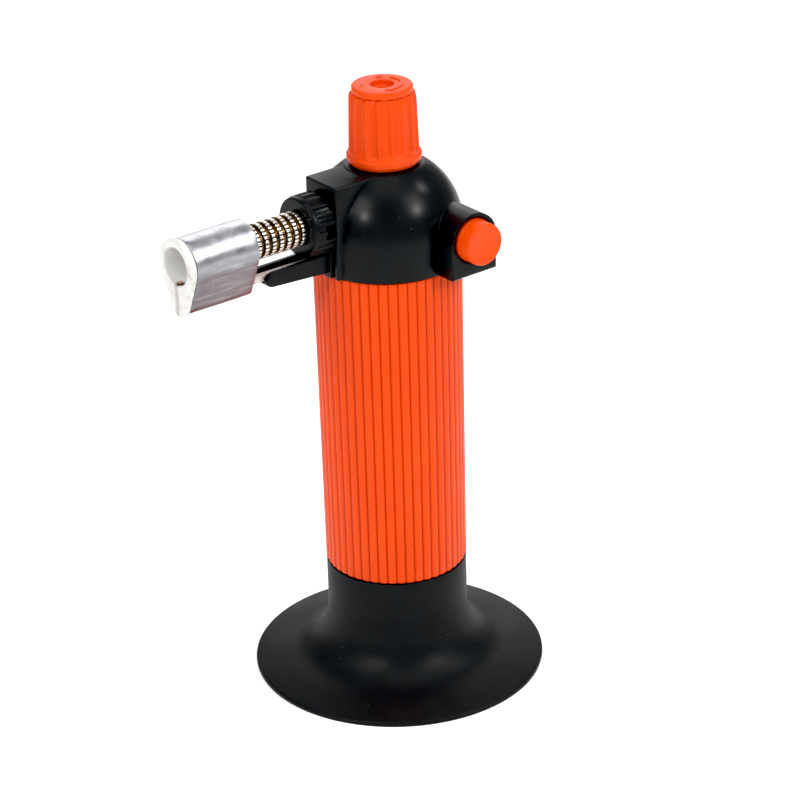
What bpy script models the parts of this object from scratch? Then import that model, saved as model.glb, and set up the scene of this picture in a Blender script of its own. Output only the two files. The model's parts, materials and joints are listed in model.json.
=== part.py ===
"""Butane micro torch on a round press-on stand.

Frame: the torch's upright axis is Z, the bench is z = 0, the flame leaves along +X and the
ignition button faces +Y. Every size is in metres, written as millimetres times MM.
"""

import math

import bmesh
import bpy
from mathutils import Matrix, Vector

MM = 0.001
TOUCH = 0.3 * MM  # gap left between pieces that meet
RUNNING = 0.08 * MM  # radial clearance of a turning or sliding fit
MERGE = 0.000002  # points this close in a turned or flat piece are one point
PAST = 2.0 * MM  # how far a cutter runs past the face it opens
SHARP_ANGLE = math.radians(35)  # edges sharper than this stay crisp
CUTTER_PHASE = math.radians(2.3)  # turns a cutter's facets off its neighbours' facets

# Main sizes
TANK_TOP_R = 18.85 * MM
TANK_TOP = 115.1 * MM
STAND_R = 38.2 * MM

# Fuel tank, the ribbed column
TANK_FOOT_R = TANK_TOP_R - 0.42 * MM
TANK_RIBS = 48
TANK_RIB_DEPTH = 0.45 * MM
TANK_WALL = 1.7 * MM
TANK_FLOOR = 2.5 * MM

# Stand
STAND_RIM = 1.2 * MM
STAND_WALL = 1.5 * MM
COLLAR_R = TANK_FOOT_R - 0.08 * MM
COLLAR_TOP = 30.5 * MM
BRIM_SLOPE = 0.25  # fall of the brim's cone for each unit outward
FILLET_TOP = 18.0 * MM
FILLET_REACH = 0.485 * (STAND_R - COLLAR_R)
FILLET_FOOT = STAND_RIM + BRIM_SLOPE * (STAND_R - COLLAR_R - FILLET_REACH)
CUP_FLOOR = 8.0 * MM
CUP_FLOOR_THICK = 2.0 * MM
CUP_HOLE_R = 9.0 * MM

# Head: dome, front block and button boss
HEAD_R = TANK_TOP_R + 0.45 * MM
HEAD_WALL = 1.7 * MM
HEAD_BOTTOM = TANK_TOP + TOUCH
DOME_Z = HEAD_BOTTOM + 8.1 * MM  # centre of the dome's sphere
DOME_FLAT_Z = DOME_Z + 0.865 * HEAD_R
BLOCK_FRONT = HEAD_R + 0.6 * MM
BLOCK_HALF = 6.1 * MM
BLOCK_TOP = DOME_FLAT_Z - 0.4 * MM
BLOCK_WALL = 1.6 * MM
BLOCK_EDGE = 0.4 * MM
BOSS_FACE = HEAD_R + 5.6 * MM
BOSS_HALF = 6.95 * MM
BOSS_REAR = 6.0 * MM
NECK_R = HEAD_R - HEAD_WALL - 1.0 * MM
NECK_HEIGHT = 3.4 * MM
NECK_TOP = TANK_TOP + NECK_HEIGHT

# Lid pressed into the tank's neck
LID_THICK = 1.2 * MM
LID_PLUG = 1.5 * MM
SEAL_R = 0.75 * MM
SEAL_GROOVE = 2.2 * MM

# Burner line along +X
BURNER_Z = BLOCK_TOP - 9.9 * MM
RING_R = 7.94 * MM
RING_REAR = BLOCK_FRONT + 1.1 * MM
RING_FRONT = RING_REAR + 6.3 * MM
RING_DISC = 1.2 * MM
RING_RIBS = 20
RING_RIB_DEPTH = 0.5 * MM
RING_WINDOW = 2.7 * MM
RING_WINDOW_LOW = 1.9 * MM
RING_WINDOW_HIGH = 1.5 * MM
HOLDER_R = 3.6 * MM
HOLDER_FLANGE_R = 4.2 * MM
HOLDER_FLANGE = 1.2 * MM
HOLDER_TAIL_R = 3.4 * MM
HOLDER_REAR = BLOCK_FRONT - 8.9 * MM
JET_R = 2.4 * MM
JET_FRONT = BLOCK_FRONT - 2.4 * MM
JET_REAR = BLOCK_FRONT - 10.2 * MM
JET_TAIL_R = 1.0 * MM
JET_TAIL = 3.2 * MM
JET_EDGE = 0.5 * MM
GAS_BORE = 0.5 * MM
GAS_TUBE_R = 1.9 * MM
BARREL_REAR_R = 3.9 * MM
BARREL_TIP_R = 4.2 * MM
FIN_R = 4.55 * MM
FIN_ROOT_R = 3.75 * MM
FIN_COUNT = 7
FIN_PITCH = 2.2 * MM
FIN_WIDTH = 1.3 * MM
BARREL_BORE = 2.6 * MM
AIR_HOLE_R = 0.55 * MM
SHIELD_REAR = BLOCK_FRONT + 23.2 * MM
SHIELD_FRONT = SHIELD_REAR + 18.0 * MM
SHIELD_TOP_R = 6.65 * MM
SHIELD_FOOT_R = 2.6 * MM
SHIELD_DROP = 10.3 * MM  # from the burner axis down to the foot's centre
SHIELD_THICK = 0.5 * MM
BARREL_TIP = SHIELD_REAR + 6.9 * MM
FLAME_HOLDER_LENGTH = 2.5 * MM
FLAME_HOLDER_BORE = 0.8 * MM
NOZZLE_FACE = SHIELD_FRONT + 2.1 * MM
NOZZLE_LIP_OUT = 0.3 * MM
NOZZLE_BORE = 4.8 * MM

# Wires
BEND = 1.5 * MM  # how far from a corner a wire starts to bend

# Electrode line
ELECTRODE_Z = BURNER_Z - 9.8 * MM
ELECTRODE_TUBE_R = 1.1 * MM
ELECTRODE_WIRE_R = 0.35 * MM
SPARK_X = SHIELD_FRONT + 0.8 * MM
SPARK_HOLE_R = 0.8 * MM
GUIDE_HALF = 3.1 * MM
GUIDE_BASE_HALF = 3.9 * MM
GUIDE_SLOT_HALF = 4.7 * MM
GUIDE_WALL = 1.2 * MM
GUIDE_TIP = BLOCK_FRONT + 19.3 * MM
GUIDE_TOP = ELECTRODE_Z + 1.7 * MM
GUIDE_DROP = 3.2 * MM  # from the electrode's axis down to the arm's root
GUIDE_NOSE_R = 1.7 * MM

# Ignition line along +Y
BUTTON_X = -0.417 * HEAD_R
BUTTON_Z = BURNER_Z - 5.3 * MM
BUTTON_R = 5.5 * MM
BUTTON_FACE = BOSS_FACE + 4.1 * MM
BUTTON_TRAVEL = 3.8 * MM
BUTTON_SKIN = 2.2 * MM
BUTTON_HOLLOW_R = 4.0 * MM
PIEZO_HALF_X = 3.5 * MM
PIEZO_HALF_Z = 3.8 * MM
PIEZO_REAR = 8.3 * MM - HEAD_R
PIEZO_FRONT = BOSS_FACE - 12.1 * MM
PIEZO_WALL = 0.8 * MM
CRYSTAL_R = 1.6 * MM
CRYSTAL_LENGTH = 3.2 * MM
PLUNGER_HALF_X = 1.9 * MM
PLUNGER_HALF_Z = 2.2 * MM
PLUNGER_REAR = PIEZO_FRONT - 8.8 * MM
EARTH_WIRE_R = 0.3 * MM

# Gas knob and valve
KNOB_FOOT_R = 8.85 * MM
KNOB_TOP_R = KNOB_FOOT_R - 0.45 * MM
KNOB_FLUTES = 16
KNOB_FLUTE_DEPTH = 0.5 * MM
KNOB_FLANGE_R = KNOB_FOOT_R + 0.55 * MM
KNOB_FLANGE_BOTTOM = DOME_FLAT_Z + 1.1 * MM
KNOB_FLANGE_HEIGHT = 1.9 * MM
KNOB_TOP = KNOB_FLANGE_BOTTOM + 17.2 * MM
KNOB_SKIRT_R = KNOB_FOOT_R - 0.35 * MM
KNOB_BORE = KNOB_FOOT_R - 1.95 * MM
KNOB_WEB_Z = KNOB_FLANGE_BOTTOM + 4.7 * MM
CAP_R = KNOB_TOP_R - 1.25 * MM
CAP_LIP = 0.45 * MM  # how far the cap reaches over the knob's rim
CAP_TOP = KNOB_TOP + 2.2 * MM
CAP_HEIGHT = 3.4 * MM
CAP_HOLE = 2.9 * MM
CAP_EDGE = 0.4 * MM
VALVE_R = 3.0 * MM
VALVE_FOOT_R = VALVE_R + 0.4 * MM
VALVE_COLLAR_R = VALVE_R + 0.9 * MM
VALVE_COLLAR_HEIGHT = 8.0 * MM
VALVE_NUT_HEIGHT = 2.9 * MM
VALVE_TOP = DOME_FLAT_Z + 3.8 * MM
VALVE_BOTTOM = TANK_TOP - 7.1 * MM
VALVE_SEAT = TANK_TOP + 6.9 * MM
VALVE_GLAND = 2.0 * MM
FILTER_R = VALVE_R - 0.4 * MM
FILTER_LENGTH = 3.3 * MM
SPINDLE_R = 1.5 * MM
SPINDLE_HUB_R = 1.9 * MM
SPINDLE_TOP = KNOB_WEB_Z + 8.0 * MM

# Refill valve under the tank
REFILL_R = 4.0 * MM
REFILL_FLANGE_R = REFILL_R + 1.6 * MM
REFILL_BOTTOM = CUP_FLOOR - 0.7 * MM
REFILL_TOP = CUP_FLOOR + 12.0 * MM
REFILL_CHAMBER = REFILL_R - 1.2 * MM
REFILL_ROOF = 1.3 * MM
GASKET_THICK = 0.8 * MM
STEM_R = 1.5 * MM
STEM_BOTTOM = CUP_FLOOR - 2.1 * MM
STEM_TOP_R = 1.0 * MM
SPRING_WIRE_R = 0.25 * MM
SPRING_END = 0.05 * MM  # gap between a spring and the face it presses

for thing in list(bpy.data.objects):
    bpy.data.objects.remove(thing, do_unlink=True)

scene = bpy.context.scene
parts = bpy.data.collections.new("butane_torch")
cutters = bpy.data.collections.new("cutters")
scene.collection.children.link(parts)
scene.collection.children.link(cutters)


def material(name, colour, roughness, metallic=0.0, alpha=1.0):
    made = bpy.data.materials.new(name)
    made.use_nodes = True
    shader = made.node_tree.nodes["Principled BSDF"]
    shader.inputs["Base Color"].default_value = (*colour, 1.0)
    shader.inputs["Roughness"].default_value = roughness
    shader.inputs["Metallic"].default_value = metallic
    shader.inputs["Alpha"].default_value = alpha
    made.diffuse_color = (*colour, alpha)
    return made


ORANGE = material("orange_plastic", (0.95, 0.10, 0.01), 0.45)
BLACK = material("black_plastic", (0.012, 0.014, 0.016), 0.4)
ALUMINIUM = material("aluminium", (0.72, 0.73, 0.76), 0.32, 1.0)
CERAMIC = material("white_ceramic", (0.85, 0.84, 0.80), 0.7)
BRASS = material("brass", (0.78, 0.60, 0.30), 0.3, 1.0)
NICKEL = material("knurled_metal", (0.70, 0.60, 0.42), 0.25, 1.0)
STEEL = material("spring_steel", (0.55, 0.56, 0.58), 0.3, 1.0)
RUBBER = material("black_rubber", (0.02, 0.02, 0.02), 0.8)
SLEEVE = material("clear_sleeve", (0.85, 0.70, 0.66), 0.25, 0.0, 0.6)
COPPER = material("copper_wire", (0.80, 0.36, 0.20), 0.3, 1.0)
FELT = material("filter_felt", (0.75, 0.72, 0.65), 0.95)
PIEZO_BLUE = material("piezo_case", (0.03, 0.07, 0.20), 0.45)
PIEZO_GREY = material("piezo_crystal", (0.35, 0.34, 0.32), 0.6)


def add_object(name, mesh, colour, home):
    made = bpy.data.objects.new(name, mesh)
    home.objects.link(made)
    if colour:
        made.data.materials.append(colour)
    if home == cutters:
        made.hide_render = True
        made.display_type = "WIRE"
    return made


def turned(name, profile, colour=None, steps=32, home=parts, closed=False):
    """A shape turned about Z. The profile's (radius, height) points run down its outer side."""
    mesh = bpy.data.meshes.new(name)
    phase = CUTTER_PHASE if home == cutters else 0.0
    points = [(radius * math.cos(phase), radius * math.sin(phase), height) for radius, height in profile]
    count = len(points)
    edges = [(i, i + 1) for i in range(count - 1)]
    if closed:
        edges.append((count - 1, 0))
    mesh.from_pydata(points, edges, [])
    made = add_object(name, mesh, colour, home)
    screw = made.modifiers.new("turn", "SCREW")
    screw.axis = "Z"
    screw.angle = math.tau
    screw.steps = steps
    screw.render_steps = steps
    screw.use_merge_vertices = True
    screw.merge_threshold = MERGE
    screw.use_smooth_shade = True
    return made


def tube_profile(outer, inner, bottom, top):
    return [(outer, top), (outer, bottom), (inner, bottom), (inner, top)]


def rod_profile(radius, bottom, top):
    return [(0.0, top), (radius, top), (radius, bottom), (0.0, bottom)]


def along_x(thing, x=0.0, z=BURNER_Z, y=0.0):
    thing.rotation_euler = (0.0, math.pi / 2, 0.0)
    thing.location = (x, y, z)
    return thing


def along_y(thing, x=BUTTON_X, z=BUTTON_Z, y=0.0):
    thing.rotation_euler = (-math.pi / 2, 0.0, 0.0)
    thing.location = (x, y, z)
    return thing


def box(name, low, high, colour=None, home=parts, bevel=0.0, origin=(0.0, 0.0, 0.0)):
    """A block between two corners, measured from its own origin."""
    mesh = bpy.data.meshes.new(name)
    work = bmesh.new()
    size = Vector(high) - Vector(low)
    middle = (Vector(high) + Vector(low)) / 2
    place = Matrix.Translation(middle) @ Matrix.Diagonal((*size, 1.0))
    bmesh.ops.create_cube(work, size=1.0, matrix=place)
    work.to_mesh(mesh)
    work.free()
    made = add_object(name, mesh, colour, home)
    made.location = origin
    if bevel:
        edge = made.modifiers.new("edges", "BEVEL")
        edge.width = bevel
        edge.segments = 2
    return made


def cylinder(name, radius, bottom, top, colour=None, steps=32, home=parts):
    return turned(name, rod_profile(radius, bottom, top), colour, steps, home)


def mesh_of_curve(thing):
    """Turns a curve object into a mesh object of the same place, with its caps welded."""
    bpy.context.view_layer.update()
    graph = bpy.context.evaluated_depsgraph_get()
    mesh = bpy.data.meshes.new_from_object(thing.evaluated_get(graph))
    work = bmesh.new()
    work.from_mesh(mesh)
    bmesh.ops.remove_doubles(work, verts=work.verts, dist=MERGE)
    bmesh.ops.recalc_face_normals(work, faces=work.faces)
    work.to_mesh(mesh)
    work.free()
    mesh.shade_smooth()
    mesh.set_sharp_from_angle(angle=SHARP_ANGLE)
    name = thing.name
    home = thing.users_collection[0]
    colour = thing.data.materials[0] if thing.data.materials else None
    matrix = thing.matrix_world.copy()
    bpy.data.objects.remove(thing, do_unlink=True)
    mesh.materials.clear()
    made = add_object(name, mesh, colour, home)
    made.matrix_world = matrix
    return made


def plate(name, outlines, bottom, top, colour=None, home=parts):
    """Flat outlines in XY, each a closed list of (x, y), thickened from bottom to top along Z."""
    curve = bpy.data.curves.new(name, "CURVE")
    curve.dimensions = "2D"
    curve.fill_mode = "BOTH"
    curve.extrude = (top - bottom) / 2
    for outline in outlines:
        spline = curve.splines.new("POLY")
        spline.points.add(len(outline) - 1)
        for point, (x, y) in zip(spline.points, outline):
            point.co = (x, y, 0.0, 1.0)
        spline.use_cyclic_u = True
    thing = bpy.data.objects.new(name, curve)
    home.objects.link(thing)
    if colour:
        curve.materials.append(colour)
    made = mesh_of_curve(thing)
    made.data.transform(Matrix.Translation((0.0, 0.0, (top + bottom) / 2)))
    return made


def wire(name, points, radius, colour):
    """A round wire or soft tube through straight runs between the points."""
    curve = bpy.data.curves.new(name, "CURVE")
    curve.dimensions = "3D"
    curve.bevel_depth = radius
    curve.bevel_resolution = 2
    curve.use_fill_caps = True
    spline = curve.splines.new("POLY")
    spline.points.add(len(points) - 1)
    for point, place in zip(spline.points, points):
        point.co = (*place, 1.0)
    curve.materials.append(colour)
    thing = bpy.data.objects.new(name, curve)
    parts.objects.link(thing)
    return mesh_of_curve(thing)


def rounded_route(corners, steps=4):
    """Points of a route through the corners, each inner corner rounded by a parabola."""
    corners = [Vector(corner) for corner in corners]
    route = [corners[0]]
    for before, corner, after in zip(corners, corners[1:], corners[2:]):
        start = corner.lerp(before, min(0.4, BEND / (before - corner).length))
        end = corner.lerp(after, min(0.4, BEND / (after - corner).length))
        for i in range(steps + 1):
            t = i / steps
            route.append(start.lerp(corner, t).lerp(corner.lerp(end, t), t))
    route.append(corners[-1])
    return route


def boolean(thing, other, operation="DIFFERENCE"):
    cut = thing.modifiers.new(other.name, "BOOLEAN")
    cut.operation = operation
    cut.solver = "EXACT"
    cut.object = other
    return thing


def coil(name, radius, wire_radius, bottom, top, turns, colour):
    """A compression spring about Z between two heights, measured over the wire."""
    steps = turns * 8
    low = bottom + wire_radius
    rise = top - bottom - 2 * wire_radius
    points = []
    for i in range(steps + 1):
        angle = math.tau * turns * i / steps
        height = low + rise * i / steps
        points.append((radius * math.cos(angle), radius * math.sin(angle), height))
    return wire(name, points, wire_radius, colour)


def fluted_outline(radius, count, depth, land):
    """A round outline with shallow grooves; land is the share of each pitch left at full radius."""
    outline = []
    for i in range(count):
        middle = math.tau * i / count
        half = math.pi / count
        corners = (
            (radius, -land * half),
            (radius, land * half),
            (radius - depth, (2 - land) * 0.55 * half + 0.45 * half),
            (radius - depth, 2 * half - ((2 - land) * 0.55 - 0.55) * half),
        )
        for reach, turn in corners:
            outline.append((reach * math.cos(middle + turn), reach * math.sin(middle + turn)))
    return outline


def taper(thing, bottom, top, scale_bottom, scale_top):
    """Scales a piece's points about Z, from one factor at the bottom to another at the top."""
    for vertex in thing.data.vertices:
        share = (vertex.co.z - bottom) / (top - bottom)
        factor = scale_bottom + (scale_top - scale_bottom) * share
        vertex.co.x *= factor
        vertex.co.y *= factor


def arc(cx, cy, radius, start, end, steps):
    """Points of an arc in degrees, both ends included."""
    points = []
    for i in range(steps + 1):
        angle = math.radians(start + (end - start) * i / steps)
        points.append((cx + radius * math.cos(angle), cy + radius * math.sin(angle)))
    return points


def pear_outline(grow=0.0, top_steps=16, foot_steps=6):
    """The nozzle's section: a large round top and a small round foot joined by straight flanks.
    Its first coordinate points down (-Z once stood along X), its second is Y."""
    top_r = SHIELD_TOP_R + grow
    foot_r = SHIELD_FOOT_R + grow
    lean = math.degrees(math.asin((top_r - foot_r) / SHIELD_DROP))
    top = arc(0.0, 0.0, top_r, 90 - lean, 270 + lean, top_steps)
    foot = arc(SHIELD_DROP, 0.0, foot_r, -90 + lean, 90 - lean, foot_steps)
    return top + foot


# ---------------------------------------------------------------- stand


def make_stand():
    fillet_foot_r = COLLAR_R + FILLET_REACH
    outer = [(COLLAR_R, COLLAR_TOP)]
    bend_z = FILLET_FOOT + BRIM_SLOPE * FILLET_REACH  # where the collar's line meets the brim's
    for i in range(9):
        share = i / 8
        radius = COLLAR_R + FILLET_REACH * share**2
        height = FILLET_TOP * (1 - share) ** 2 + 2 * bend_z * share * (1 - share) + FILLET_FOOT * share**2
        outer.append((radius, height))
    outer += [(STAND_R, STAND_RIM), (STAND_R, 0.0)]
    under = [(STAND_R - STAND_WALL, 0.0)]
    under.append((fillet_foot_r + STAND_WALL, FILLET_FOOT - STAND_WALL))
    for i in range(4):
        angle = math.pi / 2 * i / 4
        radius = fillet_foot_r - (FILLET_REACH + STAND_WALL) * math.sin(angle)
        rise = (CUP_FLOOR - FILLET_FOOT) * (1 - math.cos(angle))
        under.append((radius, FILLET_FOOT - STAND_WALL + rise))
    cup = [
        (COLLAR_R - STAND_WALL, CUP_FLOOR - CUP_FLOOR_THICK),
        (CUP_HOLE_R, CUP_FLOOR - CUP_FLOOR_THICK),
        (CUP_HOLE_R, CUP_FLOOR),
        (COLLAR_R - STAND_WALL, CUP_FLOOR),
        (COLLAR_R - STAND_WALL, COLLAR_TOP),
    ]
    stand = turned("stand_base", outer + under + cup, BLACK, 40, closed=True)
    return [stand]


# ---------------------------------------------------------------- fuel tank and refill valve


def make_tank():
    plug_r = COLLAR_R - STAND_WALL - TOUCH
    foot = CUP_FLOOR + TOUCH
    ribs_bottom = COLLAR_TOP + TOUCH
    middle_r = (TANK_FOOT_R + TANK_TOP_R) / 2
    outline = fluted_outline(middle_r, TANK_RIBS, TANK_RIB_DEPTH, 0.9)
    tank = plate("fuel_tank", [outline], ribs_bottom, TANK_TOP, ORANGE)
    taper(tank, ribs_bottom, TANK_TOP, TANK_FOOT_R / middle_r, TANK_TOP_R / middle_r)
    plug = cylinder("tank_plug", plug_r, foot, ribs_bottom + PAST, steps=40, home=cutters)
    neck = cylinder("tank_neck", NECK_R, TANK_TOP - PAST, NECK_TOP, steps=40, home=cutters)
    inner_r = NECK_R - TANK_WALL
    floor_top = foot + TANK_FLOOR
    inside = cylinder("tank_inside", inner_r, floor_top, NECK_TOP + PAST, steps=32, home=cutters)
    port = cylinder("tank_port", REFILL_R + TOUCH, 0.0, floor_top + PAST, home=cutters)
    boolean(tank, plug, "UNION")
    boolean(tank, neck, "UNION")
    boolean(tank, inside)
    boolean(tank, port)
    return [tank]


def make_lid():
    inner = NECK_R - TANK_WALL - TOUCH
    seat = NECK_TOP + TOUCH
    groove_floor = inner - SEAL_GROOVE
    groove_low = TANK_TOP + 0.2 * MM
    groove_high = groove_low + SEAL_GROOVE
    profile = [
        (NECK_R, seat + LID_THICK),
        (NECK_R, seat),
        (inner, seat),
        (inner, groove_high),
        (groove_floor, groove_high),
        (groove_floor, groove_low),
        (inner, groove_low),
        (inner, groove_low - LID_PLUG),
        (VALVE_FOOT_R + TOUCH, groove_low - LID_PLUG),
        (VALVE_FOOT_R + TOUCH, seat + LID_THICK),
    ]
    lid = turned("tank_lid", profile, ORANGE, 32, closed=True)
    centre = (inner - 0.2 * MM - SEAL_R, (groove_low + groove_high) / 2)
    seal = turned("lid_seal", arc(*centre, SEAL_R, 90, -210, 5), RUBBER, 32, closed=True)
    return [lid, seal]


def make_refill_valve():
    floor_top = CUP_FLOOR + TOUCH + TANK_FLOOR
    gasket_low = floor_top + TOUCH
    gasket_high = gasket_low + GASKET_THICK
    flange_low = gasket_high + TOUCH
    flange_high = flange_low + 1.4 * MM
    chamber_low = floor_top
    chamber_high = REFILL_TOP - REFILL_ROOF
    body = turned(
        "refill_valve_body",
        [
            (REFILL_R, REFILL_TOP),
            (REFILL_R, flange_high),
            (REFILL_FLANGE_R, flange_high),
            (REFILL_FLANGE_R, flange_low),
            (REFILL_R, flange_low),
            (REFILL_R, REFILL_BOTTOM),
            (STEM_R + RUNNING, REFILL_BOTTOM),
            (STEM_R + RUNNING, chamber_low),
            (REFILL_CHAMBER, chamber_low),
            (REFILL_CHAMBER, chamber_high),
            (STEM_TOP_R - 0.2 * MM, chamber_high),
            (STEM_TOP_R - 0.2 * MM, REFILL_TOP),
        ],
        BRASS,
        24,
        closed=True,
    )
    ring = tube_profile(REFILL_FLANGE_R, REFILL_R + TOUCH, gasket_low, gasket_high)
    gasket = turned("refill_gasket", ring, RUBBER, 24, closed=True)
    collar_low = chamber_low + TOUCH
    collar_high = collar_low + 1.2 * MM
    stem = turned(
        "refill_valve_stem",
        [
            (0.0, collar_high + 1.5 * MM),
            (STEM_TOP_R, collar_high + 1.5 * MM),
            (STEM_TOP_R, collar_high),
            (REFILL_CHAMBER - 0.4 * MM, collar_high),
            (REFILL_CHAMBER - 0.4 * MM, collar_low),
            (STEM_R, collar_low),
            (STEM_R, STEM_BOTTOM),
            (0.0, STEM_BOTTOM),
        ],
        BRASS,
        24,
    )
    spring_low = collar_high + SPRING_END
    spring_high = chamber_high - SPRING_END
    spring_r = (STEM_TOP_R + REFILL_CHAMBER) / 2
    spring = coil("refill_spring", spring_r, SPRING_WIRE_R, spring_low, spring_high, 4, STEEL)
    return [body, gasket, spring], [stem]


# ---------------------------------------------------------------- head


def boss_outline(half, arch_z, bottom_z):
    """The boss's tombstone shape in (x, z), measured from the button's axis."""
    arch = arc(0.0, arch_z, half, 0, 180, 12)
    return arch + [(-half, bottom_z), (half, bottom_z)]


def make_head():
    dome = [(0.0, DOME_FLAT_Z)]
    steps = 7
    start = math.asin((DOME_FLAT_Z - DOME_Z) / HEAD_R)
    for i in range(steps + 1):
        angle = start * (1 - i / steps)
        dome.append((HEAD_R * math.cos(angle), DOME_Z + HEAD_R * math.sin(angle)))
    below = HEAD_BOTTOM - PAST
    dome += [(HEAD_R, below), (0.0, below)]
    head = turned("head_housing", dome, BLACK, 40)

    block = box(
        "head_block",
        (0.0, -BLOCK_HALF, below - 0.5 * PAST),
        (BLOCK_FRONT, BLOCK_HALF, BLOCK_TOP),
        home=cutters,
        bevel=BLOCK_EDGE,
    )
    outline = boss_outline(BOSS_HALF, 0.0, below - PAST - BUTTON_Z)
    boss = plate("head_boss", [[(x, -z) for x, z in outline]], BOSS_REAR, BOSS_FACE, home=cutters)
    along_y(boss)

    inner_r = HEAD_R - HEAD_WALL
    roof = DOME_FLAT_Z - HEAD_WALL
    inner = [(0.0, roof)]
    start = math.asin((roof - DOME_Z) / inner_r)
    for i in range(5):
        angle = start * (1 - i / 4)
        inner.append((inner_r * math.cos(angle), DOME_Z + inner_r * math.sin(angle)))
    inner += [(inner_r, below - PAST), (0.0, below - PAST)]
    hollow = turned("head_hollow", inner, None, 32, cutters)
    block_hollow = box(
        "block_hollow",
        (0.0, BLOCK_WALL - BLOCK_HALF, below - 2 * PAST),
        (BLOCK_FRONT - BLOCK_WALL, BLOCK_HALF - BLOCK_WALL, BLOCK_TOP - BLOCK_WALL),
        home=cutters,
    )
    bore_r = BUTTON_R + RUNNING
    bore_rear = 0.5 * HEAD_R
    button_bore = cylinder("button_bore", bore_r, bore_rear, BOSS_FACE + PAST, home=cutters)
    along_y(button_bore)
    wall_rear = BLOCK_FRONT - BLOCK_WALL
    hole_r = HOLDER_R + TOUCH
    burner_hole = cylinder("burner_hole", hole_r, wall_rear - PAST, BLOCK_FRONT + PAST, home=cutters)
    along_x(burner_hole)
    guide_slot = box(
        "guide_slot",
        (wall_rear - PAST, -GUIDE_SLOT_HALF, below - 3 * PAST),
        (BLOCK_FRONT + PAST, GUIDE_SLOT_HALF, GUIDE_TOP + 2.2 * MM),
        home=cutters,
    )
    valve_hole_r = VALVE_COLLAR_R + TOUCH
    valve_hole = cylinder("valve_hole", valve_hole_r, roof - PAST, DOME_FLAT_Z + PAST, home=cutters)
    boolean(head, block, "UNION")
    boolean(head, boss, "UNION")
    reach = 2 * HEAD_R
    underside = box(
        "head_underside",
        (-reach, -reach, below - 4 * PAST),
        (reach, reach, HEAD_BOTTOM),
        home=cutters,
    )
    for cutter in (hollow, block_hollow, button_bore, burner_hole, guide_slot, valve_hole, underside):
        boolean(head, cutter)
    return [head]


# ---------------------------------------------------------------- outlet valve, knob


def make_outlet_valve():
    nut_low = NECK_TOP + TOUCH + LID_THICK + TOUCH
    nut_high = nut_low + VALVE_NUT_HEIGHT
    collar_low = VALVE_TOP - VALVE_COLLAR_HEIGHT
    gland_low = VALVE_TOP - VALVE_GLAND
    gland_wall_r = VALVE_COLLAR_R - 0.8 * MM
    bore = SPINDLE_R + RUNNING
    valve = turned(
        "outlet_valve_body",
        [
            (VALVE_COLLAR_R, VALVE_TOP),
            (VALVE_COLLAR_R, collar_low),
            (VALVE_R, collar_low - 1.0 * MM),
            (VALVE_R, nut_high),
            (VALVE_COLLAR_R, nut_high),
            (VALVE_COLLAR_R, nut_low),
            (VALVE_FOOT_R, nut_low),
            (VALVE_FOOT_R, VALVE_BOTTOM),
            (GAS_BORE, VALVE_BOTTOM),
            (GAS_BORE, VALVE_SEAT),
            (bore, VALVE_SEAT),
            (bore, gland_low),
            (gland_wall_r, gland_low),
            (gland_wall_r, VALVE_TOP),
        ],
        BRASS,
        24,
        closed=True,
    )
    barb_front = JET_REAR - JET_TAIL - TOUCH
    barb_rear = SPINDLE_R + 0.6 * MM
    barb = cylinder("valve_barb", JET_TAIL_R, barb_rear, barb_front, steps=12, home=cutters)
    along_x(barb)
    barb_bore = cylinder("valve_barb_bore", GAS_BORE, 0.0, barb_front + PAST, steps=8, home=cutters)
    along_x(barb_bore)
    boolean(valve, barb, "UNION")
    boolean(valve, barb_bore)
    gland_r = (gland_wall_r - SPINDLE_R) / 2 - TOUCH
    centre = ((gland_wall_r + SPINDLE_R) / 2, gland_low + TOUCH + gland_r)
    gland = turned("gland_seal", arc(*centre, gland_r, 90, -210, 5), RUBBER, 16, closed=True)
    filter_top = VALVE_BOTTOM - TOUCH
    strainer = cylinder("valve_filter", FILTER_R, filter_top - FILTER_LENGTH, filter_top, FELT, 20)
    return [valve, gland, strainer]


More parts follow.
